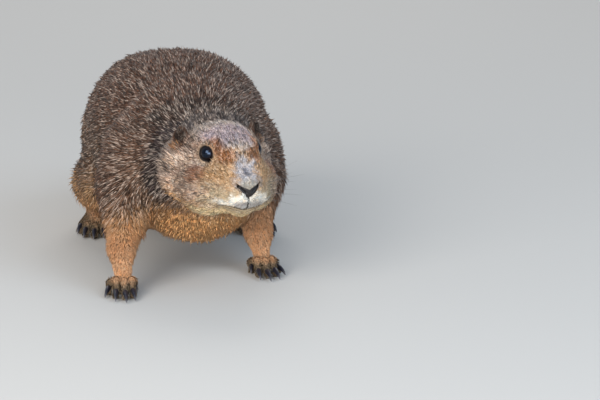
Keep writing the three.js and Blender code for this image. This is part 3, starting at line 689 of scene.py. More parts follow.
def body_markings(p):
    """The coat's colour on the body, laid from the back down to the belly and out to legs and tail,
    and how strongly it is grizzled."""
    x, y, z = np.abs(p[..., 0]), p[..., 1], p[..., 2]
    ragged = 3 * waves(p, 13, 41)
    colour = np.zeros(p.shape) + TONES["flank"]
    colour = lay(colour, "back", ramp(z + ragged, 60, 86))
    colour = lay(colour, "shoulder", fall(np.abs(y - 40), 14, 34) * fall(z + ragged, 78, 94))
    colour = lay(colour, "belly", fall(z + ragged, 20, 42))
    # The nape's dark band behind the crown is partly dark hair and partly painted shade.
    colour = lay(colour, "nape", fall(np.abs(y - 10), 10, 22) * ramp(z + ragged, 76, 92))
    chest = fall(y, 16, 42) * fall(z + 0.35 * x, 42, 62)
    colour = lay(colour, "throat", chest)
    arm = fall(y + ragged, 48, 74) * fall(z + ragged, 26, 48) * ramp(x, 20, 30)
    colour = lay(colour, "arm", arm)
    legs = legness(p)
    colour = lay(colour, "wrist", legs * fall(z, 12, 32))
    colour = lay(colour, "toe", legs * fall(z, 6, 12))
    colour = lay(colour, "tail", ramp(y, 196, 214))
    tip = ramp(y + ragged, 248, 258)
    colour = lay(colour, "tail_tip", tip)
    grizzle = mix(1.0, 0.12, np.maximum.reduce([arm, chest, fall(z, 20, 44)]))
    return colour, mix(grizzle, 0.15, tip)


def head_streaks(q):
    """Waves from -1 to 1 over the direction from the nose, so that they run with the lie of the coat,
    and that drift slowly with the distance from it."""
    away = q - COAT_START
    far = np.linalg.norm(away, axis=-1, keepdims=True)
    return waves(48 * away / far + 0.14 * far, 3.4, 57)


def cheek_markings(q, ragged):
    """The coat's colour on the cheeks, from their ground tones to spots, streaks and the bridge."""
    y, z = q[..., 1], q[..., 2]
    colour = np.zeros(q.shape) + TONES["cheek"]
    colour = lay(colour, "cheek_rear", ramp(y + ragged, 0, 12) * ramp(z, -34, -26))
    colour = lay(colour, "cheek_low", fall(z + ragged, -25, -15) * fall(y, 6, 20))
    colour = lay_spots(colour, q, "cheek")
    streak = head_streaks(q) * ramp(y, -29, -14)
    colour = lay(colour, "dusk", 0.42 * ramp(-streak, 0.15, 0.7))
    colour = lay(colour, "streak", 0.52 * ramp(streak, 0.1, 0.7))
    colour = lay(colour, "bridge", fall(y, -22, -12) * ramp(z, -12, -4))
    return lay_spots(colour, q, "before_eye")


def crown_markings(q, ragged, colour):
    """The pale crown, the forehead and the orange brows, laid over colours."""
    x, y, z = np.abs(q[..., 0]), q[..., 1], q[..., 2]
    crown = ramp(z + ragged, 8, 11.5) * fall(y + ragged - 0.3 * x, 9.5, 11.5)
    colour = lay(colour, "crown", crown)
    forehead = ramp(z + 0.5 * ragged, 6, 10) * fall(np.abs(y + 10), 6, 12)
    colour = lay(colour, "forehead", forehead * fall(x, 12, 16))
    colour = lay_spots(colour, q, "brow")
    return lay(colour, "orange", 0.5 * fall(lid_edge(in_eye(q)), 0.8, 2.6) * ramp(z, 4, 7))


def snout_markings(q, ragged, colour):
    """Muzzle, top of the nose, chin, lips and nose, laid over colours."""
    x, y, z = np.abs(q[..., 0]), q[..., 1], q[..., 2]
    colour = lay(colour, "muzzle", fall(y + ragged, -27, -19) * fall(z, -10, -4))
    narrow = fall(x + ragged, 4, 7.5)
    colour = lay(colour, "nose_top", fall(y + ragged, -29, -24) * narrow * ramp(z, -9, -6))
    colour = lay(colour, "nose_tip", fall(y, -37.5, -34.5) * narrow * ramp(z, -10, -7))
    colour = lay_spots(colour, q, "nose")
    colour = lay(colour, "chin", fall(y, -20, -10) * fall(z, -22, -19))
    over_lip = mouth_gap(q)
    top = mix(10, 3.5, ramp(x, 2, 13))
    lips = ramp(over_lip, -1, 0.4) * fall(over_lip + ragged - top, -1.5, 1.5)
    colour = lay(colour, "lip", lips * fall(x + ragged, 12, 17) * fall(y, -26, -20))
    colour = lay_spots(colour, q, "lip")
    colour = lay(colour, "lip_line", mouth_line(q))
    bare = np.maximum(ramp(nose_slit(q), 0.25, 0.6), ramp(philtrum(q), 0.3, 0.7))
    return lay(colour, "nose", bare)


def head_markings(q):
    """The coat's colour on the head, each patch laid over the one before, from the cheeks over the
    crown and the brows to the snout, lips, lids and ears, and how strongly it is grizzled."""
    y, z = q[..., 1], q[..., 2]
    ragged = 1.3 * waves(q, 5, 31)
    colour = cheek_markings(q, ragged)
    colour = crown_markings(q, ragged, colour)
    colour = snout_markings(q, ragged, colour)
    e = in_eye(q)
    edge = lid_edge(e)
    front = ramp(e[..., 2], -1, 1)
    colour = lay(colour, "lid_skin", 0.7 * fall(edge, 0.8, 2) * front)
    colour = lay(colour, "lid", fall(edge, 0.45, 0.9) * front)
    ear = in_ear(q)
    on_ear = fall(ear_distance(q) + 0.5 * ragged, 1, 3)
    on_ear = np.maximum(on_ear, spot(q, (22, 5.2, 4.2), (4.6, 4.6, 6)))
    colour = lay(colour, "ear", on_ear)
    colour = lay(colour, "ear_hollow", fall(ellipsoid(ear, EAR_HOLLOW_AT, EAR_HOLLOW_HALF), 0.3, 1.6))
    tan = np.linalg.norm(ear - np.array([1.8, -2, -4.2]), axis=-1)
    colour = lay(colour, "ear_tan", 0.9 * fall(tan, 1.2, 3.2))
    grizzle = mix(0.75, 1.0, np.maximum(ramp(z, 5, 9), ramp(y, -6, 8)))
    grizzle = mix(grizzle, 0.4, np.maximum(fall(y, -32, -24), on_ear))
    return colour, grizzle


def markings(p):
    """The colour of the coat at points, and how strongly it is grizzled: the head's on the head, the
    body's elsewhere, with a dark crease where they meet behind the cheeks and the crown, partly dark hair
    and partly painted shade."""
    colour, grizzle = body_markings(p)
    near = (p[..., 1] < 60) & (p[..., 2] > 20)
    q = to_head(p[near])
    head, head_grizzle = head_markings(q)
    share = headness(p[near])
    inside = mix(colour[near], head, share[..., None])
    # The crease tone is partly dark hair and partly painted shade, laid in the fold where the head stands
    # just proud of the body.
    behind = head_form(p[near]) - body_form(p[near])
    crease = fall(np.abs(behind - 3.5) + 0.8 * waves(q, 6, 7), 2.5, 6.5) * ramp(q[..., 2], -36, -24)
    colour[near] = lay(inside, "crease", 0.85 * crease)
    grizzle[near] = mix(grizzle[near], head_grizzle, share)
    return colour, grizzle


# Meshes.


# The step by which a gradient is measured, how often and how far a mesh is evened out, and how often
# its points are then moved on to the level, over a slope that counts as no less than this.
SLOPE_STEP, SETTLE_ROUNDS, SETTLE_EASE, LEVEL_STEPS, LEAST_SLOPE = 0.06, 2, 0.4, 2, 0.3


def slope(field, p):
    """A field's values at points and its gradient there, by small steps along each axis."""
    here = field(p)
    steps = [(field(p + np.eye(3)[axis] * SLOPE_STEP) - here) / SLOPE_STEP for axis in range(3)]
    return here, np.stack(steps, -1)


def surface_net(values, axes):
    """The zero level of values on a grid as points and triangles, turned outwards: each cell that the
    level crosses has one point, the mean of the crossings on its edges, and each crossed edge joins
    the points of its four cells."""
    inside = values < 0
    cells = np.array(values.shape) - 1
    keys, places, corners = [], [], []
    for axis in range(3):
        step = np.eye(3, dtype=int)[axis]
        last = tuple(slice(None, -1) if n == axis else slice(None) for n in range(3))
        first = tuple(slice(1, None) if n == axis else slice(None) for n in range(3))
        at = np.argwhere(inside[last] != inside[first])
        low, high = values[tuple(at.T)], values[tuple((at + step).T)]
        start = np.stack([axes[n][at[:, n]] for n in range(3)], -1)
        end = np.stack([axes[n][at[:, n] + step[n]] for n in range(3)], -1)
        place = mix(start, end, (low / (low - high))[:, None])
        b, c = np.eye(3, dtype=int)[(axis + 1) % 3], np.eye(3, dtype=int)[(axis + 2) % 3]
        around = (b + c, c, 0 * c, b)
        ring = [np.ravel_multi_index(tuple((at - back).T), cells, mode="clip") for back in around]
        ring = np.stack(ring, -1)
        ring[low > 0] = ring[low > 0][:, ::-1]
        keys.append(ring.ravel())
        places.append(np.repeat(place, 4, axis=0))
        corners.append(ring)
    used, which = np.unique(np.concatenate(keys), return_inverse=True)
    spread = np.concatenate(places)
    count = np.bincount(which)
    points = np.stack([np.bincount(which, spread[:, n]) / count for n in range(3)], -1)
    quads = np.searchsorted(used, np.concatenate(corners))
    short = np.linalg.norm(points[quads[:, 0]] - points[quads[:, 2]], axis=1) < np.linalg.norm(
        points[quads[:, 1]] - points[quads[:, 3]], axis=1
    )
    halves = np.where(short[:, None], quads[:, [0, 1, 2, 0, 2, 3]], quads[:, [0, 1, 3, 1, 2, 3]])
    return points, halves.reshape(-1, 3)


def refine(points, triangles, chosen):
    """Splits each edge whose middle is chosen. A triangle with one, two or three split edges becomes
    two, three or four, so that no gap opens beside a finer patch."""
    edges = np.sort(triangles[:, [[0, 1], [1, 2], [2, 0]]].reshape(-1, 2), axis=1)
    key = edges[:, 0] * len(points) + edges[:, 1]
    used, first, which = np.unique(key, return_index=True, return_inverse=True)
    middle = points[edges[first]].mean(1)
    split = chosen(middle)
    number = np.full(len(used), -1)
    number[split] = len(points) + np.arange(split.sum())
    mids = number[which].reshape(-1, 3)
    parts = [triangles[(mids < 0).all(1)]]
    count = (mids >= 0).sum(1)
    # Each triangle is rolled until its first edge is split and its last is whole, if one is. Then a, b
    # and c are its corners, and m, n and o the middles of the edges from a to b, b to c and c to a.
    for n, pieces in ((1, "amc mbc"), (2, "amc mnc mbn"), (3, "amo mbn onc mno")):
        chosen_rows = count == n
        tri, mid = triangles[chosen_rows], mids[chosen_rows]
        start = np.argmax(mid >= 0, axis=1) if n == 1 else (np.argmin(mid, axis=1) + 1) % 3
        if n == 3:
            start = 0 * start
        roll = (start[:, None] + np.arange(3)) % 3
        tri, mid = np.take_along_axis(tri, roll, 1), np.take_along_axis(mid, roll, 1)
        letters = dict(zip("abcmno", [*tri.T, *mid.T]))
        parts += [np.stack([letters[letter] for letter in word], -1) for word in pieces.split()]
    return np.concatenate([points, middle[split]]), np.concatenate(parts)


def settle(points, triangles, field):
    """Evens out a mesh: each point moves towards the mean of its neighbours, then along the gradient
    on to the zero level."""
    near, far = np.concatenate([triangles[:, [a, b]] for a, b in ((0, 1), (1, 2), (2, 0))]).T
    count = np.bincount(near, minlength=len(points))[:, None]
    for _ in range(SETTLE_ROUNDS):
        mean = np.stack([np.bincount(near, points[far, n], len(points)) for n in range(3)], -1) / count
        points = mix(points, mean, SETTLE_EASE)
        for _ in range(LEVEL_STEPS):
            here, way = slope(field, points)
            step = here / np.maximum((way * way).sum(-1), LEAST_SLOPE)
            points = points - np.clip(step, -1, 1)[:, None] * way
    return points


def make_mesh(name, points, triangles, material, colours, facts=None, uv=None):
    """A piece of the object from points in millimetres of the animal's frame and triangles. colours and
    facts become its attributes tone and strand, and uv its flat map."""
    mesh = bpy.data.meshes.new(name)
    mesh.vertices.add(len(points))
    mesh.vertices.foreach_set("co", ((points + SHIFT) * MM).astype(np.float32).ravel())
    mesh.loops.add(triangles.size)
    mesh.loops.foreach_set("vertex_index", triangles.astype(np.int32).ravel())
    mesh.polygons.add(len(triangles))
    mesh.polygons.foreach_set("loop_start", np.arange(0, triangles.size, 3, dtype=np.int32))
    mesh.polygons.foreach_set("use_smooth", np.ones(len(triangles), bool))
    tone = mesh.attributes.new("tone", "FLOAT_COLOR", "POINT")
    whole = np.concatenate([colours, np.ones((len(points), 1))], 1).astype(np.float32)
    tone.data.foreach_set("color", whole.ravel())
    if facts is not None:
        strand = mesh.attributes.new("strand", "FLOAT_VECTOR", "POINT")
        strand.data.foreach_set("vector", facts.astype(np.float32).ravel())
    if uv is not None:
        layer = mesh.uv_layers.new(name="OFBake")
        layer.data.foreach_set("uv", uv[triangles.ravel()].astype(np.float32).ravel())
    mesh.update(calc_edges=True)
    mesh.materials.append(material)
    piece = bpy.data.objects.new(name, mesh)
    bpy.context.scene.collection.objects.link(piece)
    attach(piece, "root")
    return piece


def ring_faces(rows, columns):
    """Quads over a grid of points, ring after ring, each ring closed on itself."""
    r, c = np.meshgrid(np.arange(rows - 1), np.arange(columns), indexing="ij")
    here, beside = r * columns + c, r * columns + (c + 1) % columns
    return np.stack([here, beside, beside + columns, here + columns], -1).reshape(-1, 4)


def sweep(path, radii, sides, rise=1.0):
    """The rings of a tube round a path of points: each is a circle of its radius across the path,
    stretched upwards by rise."""
    tangent = unit(np.gradient(path, axis=0))
    side = unit(np.cross(tangent, UP + 1e-3))
    up = np.cross(side, tangent)
    angle = 2 * np.pi * np.arange(sides) / sides
    ring = np.cos(angle)[None, :, None] * side[:, None]
    ring = ring + np.sin(angle)[None, :, None] * up[:, None] * rise
    return path[:, None] + ring * radii[:, None, None]


def closed(grid):
    """A grid of rings, one after the other, as points and triangles, with a point at the middle of the
    first ring and one at the middle of the last to close the ends."""
    rows, columns = grid.shape[:2]
    points = np.concatenate([grid.reshape(-1, 3), grid[[0, -1]].mean(1)])
    quads = ring_faces(rows, columns)
    ring = np.arange(columns)
    beside = (ring + 1) % columns
    last = (rows - 1) * columns
    ends = [
        np.stack([beside, ring, 0 * ring + rows * columns], -1),
        np.stack([ring + last, beside + last, 0 * ring + rows * columns + 1], -1),
    ]
    return points, np.concatenate([quads[:, [0, 1, 2]], quads[:, [0, 2, 3]], *ends])


def make_closed(name, grid, colour, material):
    """A piece from a grid of rings and their colours. The points at its ends take the colours beside."""
    points, faces = closed(grid)
    return make_mesh(name, points, faces, material, np.concatenate([colour, colour[[0, -1]]]))


# The angle by which a ball's rings stop short of its poles.
POLE_GAP = 0.02


def ball_angles(rows, columns):
    """The angles down from a ball's pole, as a column, and round it, as a row."""
    down = np.linspace(POLE_GAP, np.pi - POLE_GAP, rows)[:, None]
    return down, np.linspace(0, 2 * np.pi, columns, endpoint=False)[None]


# Materials.


def new_material(name, **values):
    """A material with its tree emptied but for an output and a shader, some of whose inputs are set."""
    material = bpy.data.materials.new(name)
    material.use_nodes = True
    tree = material.node_tree
    tree.nodes.clear()
    shader = tree.nodes.new("ShaderNodeBsdfPrincipled")
    output = tree.nodes.new("ShaderNodeOutputMaterial")
    tree.links.new(shader.outputs[0], output.inputs[0])
    for key, value in values.items():
        shader.inputs[key.replace("_", " ")].default_value = value
    return material, tree, shader


def feed(tree, socket, value):
    """Links an output to a socket, or sets the socket to a constant value."""
    if isinstance(value, bpy.types.NodeSocket):
        tree.links.new(value, socket)
    else:
        socket.default_value = value


def put(tree, kind, settings=None, **inputs):
    """A node of that kind with its settings made. Its inputs are fed by name, or by number after _."""
    made = tree.nodes.new(kind)
    for key, value in (settings or {}).items():
        setattr(made, key, value)
    for key, value in inputs.items():
        feed(tree, made.inputs[int(key[1:]) if key[0] == "_" else key.replace("_", " ")], value)
    return made


def put_fact(tree, name, output):
    """What the mesh holds at each point under that name."""
    return put(tree, "ShaderNodeAttribute", {"attribute_name": name}).outputs[output]


def put_ramp(tree, source, stops):
    """A colour ramp over grey values, given as (place, value) or (place, colour)."""
    made = put(tree, "ShaderNodeValToRGB", Fac=source)
    band = made.color_ramp
    while len(band.elements) < len(stops):
        band.elements.new(0.5)
    for element, (place, value) in zip(band.elements, stops):
        element.position = place
        element.color = (*value, 1) if isinstance(value, (tuple, list)) else (value, value, value, 1)
    return made.outputs[0]


def put_mix(tree, way, share, a, b):
    """Two colours mixed in a given way."""
    made = put(tree, "ShaderNodeMix", {"data_type": "RGBA", "blend_type": way}, _0=share, _6=a, _7=b)
    return made.outputs[2]


def put_product(tree, a, b):
    """Two numbers multiplied."""
    return put(tree, "ShaderNodeMath", {"operation": "MULTIPLY"}, _0=a, _1=b).outputs[0]


def put_bump(tree, shader, height, strength, distance):
    """Heights as a bump of the shader's surface, its distance in metres."""
    bump = put(tree, "ShaderNodeBump", Height=height, Strength=strength, Distance=distance)
    tree.links.new(bump.outputs[0], shader.inputs["Normal"])


def coat_material():
    """Hair in its marking's colour, banded: dark at the root, partly its own grey base and partly painted
    shade next to the skin, tan half way, then a dark band and a pale end. By chance, and by how strongly
    the place is grizzled, a tuft ends dark or is pale throughout."""
    material, tree, shader = new_material("coat_hair", Roughness=0.6, Specular_IOR_Level=0.3)
    tone = put_fact(tree, "tone", "Color")
    strand = put_fact(tree, "strand", "Vector")
    along, chance, grizzle = put(tree, "ShaderNodeSeparateXYZ", Vector=strand).outputs
    # The dark root is partly the hair's own grey base and partly painted shade where the tufts meet the
    # skin.
    bands = put_ramp(tree, along, [(0.0, 0.22), (0.3, 0.5), (0.5, 0.92), (1.0, 1.0)])
    ring = put_ramp(tree, along, [(0.45, 1.0), (0.6, 0.55), (0.75, 1.0)])
    plain = put_mix(tree, "MULTIPLY", grizzle, put_mix(tree, "MULTIPLY", 1.0, tone, bands), ring)
    dark_end = put_ramp(tree, along, [(0.3, 0.8), (0.6, 0.22), (1.0, 0.3)])
    is_dark = put_ramp(tree, chance, [(0.3, 1.0), (0.42, 0.0)])
    is_pale = put_ramp(tree, chance, [(0.58, 0.0), (0.72, 1.0)])
    share_dark = put_product(tree, is_dark, grizzle)
    share_pale = put_product(tree, is_pale, grizzle)
    darker = put_mix(tree, "MULTIPLY", share_dark, plain, dark_end)
    pale = put_mix(tree, "MIX", 0.42, tone, (0.74, 0.62, 0.52, 1))
    pale = put_mix(tree, "MULTIPLY", 1.0, pale, bands)
    tree.links.new(put_mix(tree, "MIX", share_pale, darker, pale), shader.inputs["Base Color"])
    return material


def skin_material():
    """The under coat on the skin: its marking's colour, darkened as under fur and as painted shade between
    the tufts, with fine streaks and a bump.
    """
    material, tree, shader = new_material("skin_fur", Roughness=0.75, Specular_IOR_Level=0.25)
    tone = put_fact(tree, "tone", "Color")
    place = put(tree, "ShaderNodeTexCoord").outputs["Object"]
    stretched = put(tree, "ShaderNodeMapping", Vector=place, Scale=(1600, 420, 1100)).outputs[0]
    streaks = put(tree, "ShaderNodeTexNoise", Vector=stretched, Scale=1.0, Detail=4.0, Roughness=0.6)
    shade = put_ramp(tree, streaks.outputs["Fac"], [(0.3, 0.5), (0.5, 0.85), (0.7, 1.15)])
    tree.links.new(put_mix(tree, "MULTIPLY", 1.0, tone, shade), shader.inputs["Base Color"])
    put_bump(tree, shader, streaks.outputs["Fac"], 0.6, 0.0004)
    return material


def eye_material():
    """A dark brown eye, nearly black, under a clear wet surface that gleams like open sky."""
    wet = {"Roughness": 0.11, "IOR": 1.45, "Specular_Tint": (0.42, 0.62, 1.0, 1)}
    material, tree, shader = new_material("eye_dark", **wet)
    tree.links.new(put_fact(tree, "tone", "Color"), shader.inputs["Base Color"])
    return material


def bare_material(name, roughness, size, strength):
    """Bare skin or horn in its own tone, with a fine grain in colour and bump."""
    material, tree, shader = new_material(name, Roughness=roughness)
    tone = put_fact(tree, "tone", "Color")
    place = put(tree, "ShaderNodeTexCoord").outputs["Object"]
    noise = put(tree, "ShaderNodeTexNoise", Vector=place, Scale=size, Detail=5.0, Roughness=0.6)
    grain = noise.outputs["Fac"]
    shade = put_ramp(tree, grain, [(0.3, 0.72), (0.7, 1.2)])
    tree.links.new(put_mix(tree, "MULTIPLY", 1.0, tone, shade), shader.inputs["Base Color"])
    put_bump(tree, shader, grain, strength, 0.0002)
    return material


# Settings.


class CoatSettings(bpy.types.PropertyGroup):
    """How the coat grows."""

    tufts: bpy.props.IntProperty(
        name="Tufts", description="Tufts of hair over the whole body", default=245000, min=1000,
    )
    length_share: bpy.props.FloatProperty(
        name="Length", description="Length of a tuft in depths of the coat", default=1.6, min=1,
    )
    guard_share: bpy.props.FloatProperty(
        name="Guard hairs", description="Share of tufts that reach further", default=0.08, min=0,
    )
    seed: bpy.props.IntProperty(name="Seed", description="Seed of the coat's random draws", default=11)


class StageSettings(bpy.types.PropertyGroup):
    """Camera and light."""

    azimuth: bpy.props.FloatProperty(
        name="Azimuth", description="Where the camera stands round the animal",
        default=math.radians(-8.5), subtype="ANGLE",
    )
    elevation: bpy.props.FloatProperty(
        name="Elevation", description="Height of the camera above the horizon",
        default=math.radians(12), subtype="ANGLE",
    )
    distance: bpy.props.FloatProperty(
        name="Distance", description="From the camera to what it aims at", default=1.6, unit="LENGTH",
    )
    lens: bpy.props.FloatProperty(name="Lens", description="Focal length in millimetres", default=174.5)
    floor: bpy.props.FloatVectorProperty(
        name="Floor", description="Colour of the floor", default=(0.5, 0.49, 0.47), subtype="COLOR",
    )


# What the camera aims at and the lamps turn to, in metres of the model's own frame.
AIM = Vector((0.0540, -0.1249, 0.0468))
# Each lamp's place in metres, power in watts, size in metres and colour.
LAMPS = {
    "key": ((-1.0, -1.25, 0.8), 24, 0.9, (1.0, 0.97, 0.93)),
    "fill": ((0.93, -1.08, 0.95), 15, 1.3, (0.62, 0.8, 1.0)),
    "front": ((-0.35, -1.6, 0.12), 32, 0.9, (1.0, 0.96, 0.92)),
    "rim": ((0.2, 1.4, 1.3), 12, 1.0, (1.0, 0.98, 0.95)),
}
FLOOR_HALF, ROOM_COLOUR, ROOM_POWER = 6.0, (0.8, 0.86, 0.95, 1), 0.45


# Pieces.


# The cells of the grid on which the skin is found, the grid's corners, and in how many slabs it is
# worked out.
SKIN_CELL, SKIN_LOW, SKIN_HIGH, SKIN_SLABS = 1.5, (-66.0, -50.0, -3.0), (66.0, 297.0, 116.0), 16
# How dark the skin is under the coat: partly the darker under fur, partly painted shade between the tufts.
SKIN_UNDERFUR_AND_PAINTED_SHADE = 0.7


def on_face_or_toes(p):
    """Where the skin is fine: the front of the head and the toes."""
    q = to_head(p)
    on_face = (q[..., 1] < 18) & (np.linalg.norm(q, axis=-1) < 52)
    return on_face | ((p[..., 2] < 13) & (np.abs(p[..., 0]) > 22))


def on_nose_ears_or_lids(p):
    """Where the skin is finest."""
    q = to_head(p)
    on_nose = (np.abs(q[..., 0]) < 13) & (q[..., 1] < -26) & (q[..., 2] > -22) & (q[..., 2] < -2)
    return on_nose | (ear_distance(q) < 1.5) | (eye_distance(q) < EYE_RADIUS + 2)


class PRAIRIEDOG_OT_skin(bpy.types.Operator):
    """One skin over the whole body, under the coat"""

    bl_idname = "prairiedog.skin"
    bl_label = "Skin"

    def execute(self, context):
        axes = [np.arange(a, b, SKIN_CELL, dtype=np.float32) for a, b in zip(SKIN_LOW, SKIN_HIGH)]
        grid = np.stack(np.meshgrid(*axes, indexing="ij"), -1)
        values = np.concatenate([skin_field(slab) for slab in np.array_split(grid, SKIN_SLABS)])
        points, triangles = surface_net(values, axes)
        points = settle(points, triangles, skin_field)
        for patch in (on_face_or_toes, on_nose_ears_or_lids):
            points, triangles = refine(points, triangles, patch)
            points = settle(points, triangles, skin_field)
        # The skin is darkened as under fur and as painted shade between the tufts.
        colour = markings(points)[0] * SKIN_UNDERFUR_AND_PAINTED_SHADE
        skin = make_mesh("skin", points, triangles, skin_material(), colour)
        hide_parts(*FLESH_NODES)
        return {"FINISHED"}


def skin_parts():
    """The skin's points in the animal's frame and its triangles."""
    mesh = bpy.data.objects["skin"].data
    places = np.empty(len(mesh.vertices) * 3, np.float32)
    mesh.vertices.foreach_get("co", places)
    corners = np.empty(len(mesh.loops), np.int32)
    mesh.loops.foreach_get("vertex_index", corners)
    return places.reshape(-1, 3).astype(float) / MM - SHIFT, corners.reshape(-1, 3)


def sow(points, triangles, crowding, count, rng):
    """Roots on the triangles, each drawn in its own even step of the running sum of area times
    crowding, at a random place in its triangle."""
    a, b, c = (points[triangles[:, n]] for n in range(3))
    area = np.linalg.norm(np.cross(b - a, c - a), axis=1) / 2
    total = np.cumsum(area * crowding((a + b + c) / 3))
    face = np.searchsorted(total, (np.arange(count) + rng.random(count)) / count * total[-1])
    face = np.minimum(face, len(triangles) - 1)
    u, v = rng.random((2, count, 1))
    over = u + v > 1
    u, v = np.where(over, 1 - u, u), np.where(over, 1 - v, v)
    return a[face] + (b - a)[face] * u + (c - a)[face] * v


# The least width of a tuft, and how much it gains with the depth of the coat.
TUFT_WIDTH, TUFT_WIDENING = 0.33, 0.1


def tuft_width(depth):
    """Width of a tuft at its widest, finest where the coat is shortest."""
    return TUFT_WIDTH + TUFT_WIDENING * depth


def tuft_crowding(p):
    """Tufts for each square millimetre, before the count is set: cover over the size of a tuft."""
    depth = coat_depth(p)
    cover = mix(1.0, 0.42, fall(p[..., 2], 10, 20))
    cover = cover * mix(1.0, 1.5, headness(p))
    return cover / (tuft_width(depth) * (0.9 + depth))


# A tuft's points are its root, its left, right and ridge points and its tip.
TUFT_FACES = np.array([[0, 2, 3], [0, 3, 1], [3, 2, 4], [1, 3, 4], [0, 1, 2], [1, 4, 2]])
TUFT_ALONG = np.array([0, 0.42, 0.42, 0.42, 1.0])
TUFT_ACROSS = np.array([0.5, 0, 1, 0.5, 0.5])
# How high a tuft lies at its widest, in heights of its tip, and its ridge over that, in widths.
TUFT_MIDDLE_HIGH, TUFT_RIDGE = 0.74, 0.38
# How far all hair stays off the floor.
COAT_OFF_FLOOR = 0.05


def tuft_points(root, way, up, length, width, height):
    """Five points for each tuft, a closed lancet: it leaves the skin along the lie of the coat, rises to
    its widest place and then lies along the skin to its tip."""
    side = np.cross(way, up)
    start = root - up * (0.2 + 0.25 * width)
    middle = root + way * length * TUFT_ALONG[1] + up * height * TUFT_MIDDLE_HIGH
    tip = root + way * length + up * height
    left, right = middle - side * width / 2, middle + side * width / 2
    return np.stack([start, left, right, middle + up * width * TUFT_RIDGE, tip], 1)


def is_bare(p):
    """Where no tuft grows: the lids, the nose, the philtrum, the lips' edge and next to the floor."""
    q = to_head(p)
    e = in_eye(q)
    over_lip = mouth_gap(q)
    lids = (lid_edge(e) < 0.85) & (e[:, 2] > -1)
    lips = (over_lip > -1.3) & (over_lip < 1.7) & (np.abs(q[:, 0]) < 11) & (q[:, 1] < -20)
    return lids | lips | (nose_slit(q) > 0.12) | (philtrum(q) > 0.2) | (p[:, 2] < 0.5)


def coat_region(p):
    """The name of the coat piece that each root belongs to."""
    q = to_head(p)
    x, y, z = np.abs(p[:, 0]), p[:, 1], p[:, 2]
    on_head = headness(p) > 0.5
    fore_leg = (z < 34) & (x > 16) & (y < 76)
    hind_leg = (z < 26) & (x > 20) & (y >= 76) & (y < 205)
    names = np.select(
        [on_head & (q[:, 1] < -14), on_head, fore_leg, hind_leg, y < 40, y < 112, y < 205],
        ["face", "cheek", "foreleg", "hindleg", "neck", "torso", "hindquarters"],
        "tail",
    )
    side = np.where(np.where(on_head, q[:, 0], p[:, 0]) < 0, "R", "L")
    return np.where(names == "tail", "tail", np.char.add(np.char.add(names, "_"), side))


FACE_MIDDLE = np.array([0, -8, -6])
# The line that each region's map is wound round, from a start to an end. The face's has no end, and is
# spread round its start. The legs' lines have no start, and run through their own middle.
MAP_LINES = {
    "face": (FACE_MIDDLE, None),
    "cheek": (from_head((0, 30, -6)), from_head((0, -40, -6))),
    "neck": (np.array([0, 60, 60.0]), np.array([0, -20, 60.0])),
    "torso": (np.array([0, 30, 60.0]), np.array([0, 120, 60.0])),
    "hindquarters": (np.array([0, 100, 60.0]), np.array([0, 210, 60.0])),
    "tail": (np.array(TAIL_ROOT, float), np.array(TAIL_END, float)),
    "foreleg": (None, np.array([0, 0, -1.0])),
    "hindleg": (None, np.array([0, 0.6, -0.8])),
}


def unwrap(p, region):
    """Places on a flat map of the skin that fills the unit square. On the face, the angle from straight
    ahead is the distance from the map's middle. Elsewhere the angle round the region's line runs
    across the map and the way along it upwards."""
    start, end = MAP_LINES[region.split("_")[0]]
    if end is None:
        q = to_head(p) - FACE_MIDDLE
        away = np.arccos(np.clip(-unit(q)[:, 1], -1, 1))
        flat = unit(q[:, [0, 2]]) * away[:, None]
    else:
        middle = p.mean(0) if start is None else start
        axis = unit(end if start is None else end - start)
        across = unit(np.cross(axis, UP if abs(axis[2]) < 0.7 else [1.0, 0.0, 0.0]))
        out = p - middle
        flat = np.stack([np.arctan2(out @ across, out @ np.cross(across, axis)), out @ axis], -1)
    low, high = flat.min(0), flat.max(0)
    return 0.004 + 0.992 * (flat - low) / np.maximum(high - low, 1e-6)


# Tufts that start in the same cell are a clump, which has one of this many sets of shared draws.
CLUMPS, CLUMP_KEY = 4093, np.array([73856093, 19349663, 83492791])
# How much longer and higher a guard hair is, and how much longer the hair of the cheeks.
GUARD_LENGTH, GUARD_HEIGHT, CHEEK_LENGTH = 1.5, 1.4, 0.5
# The size of a tuft on the flat map.
MAP_TUFT = 0.003


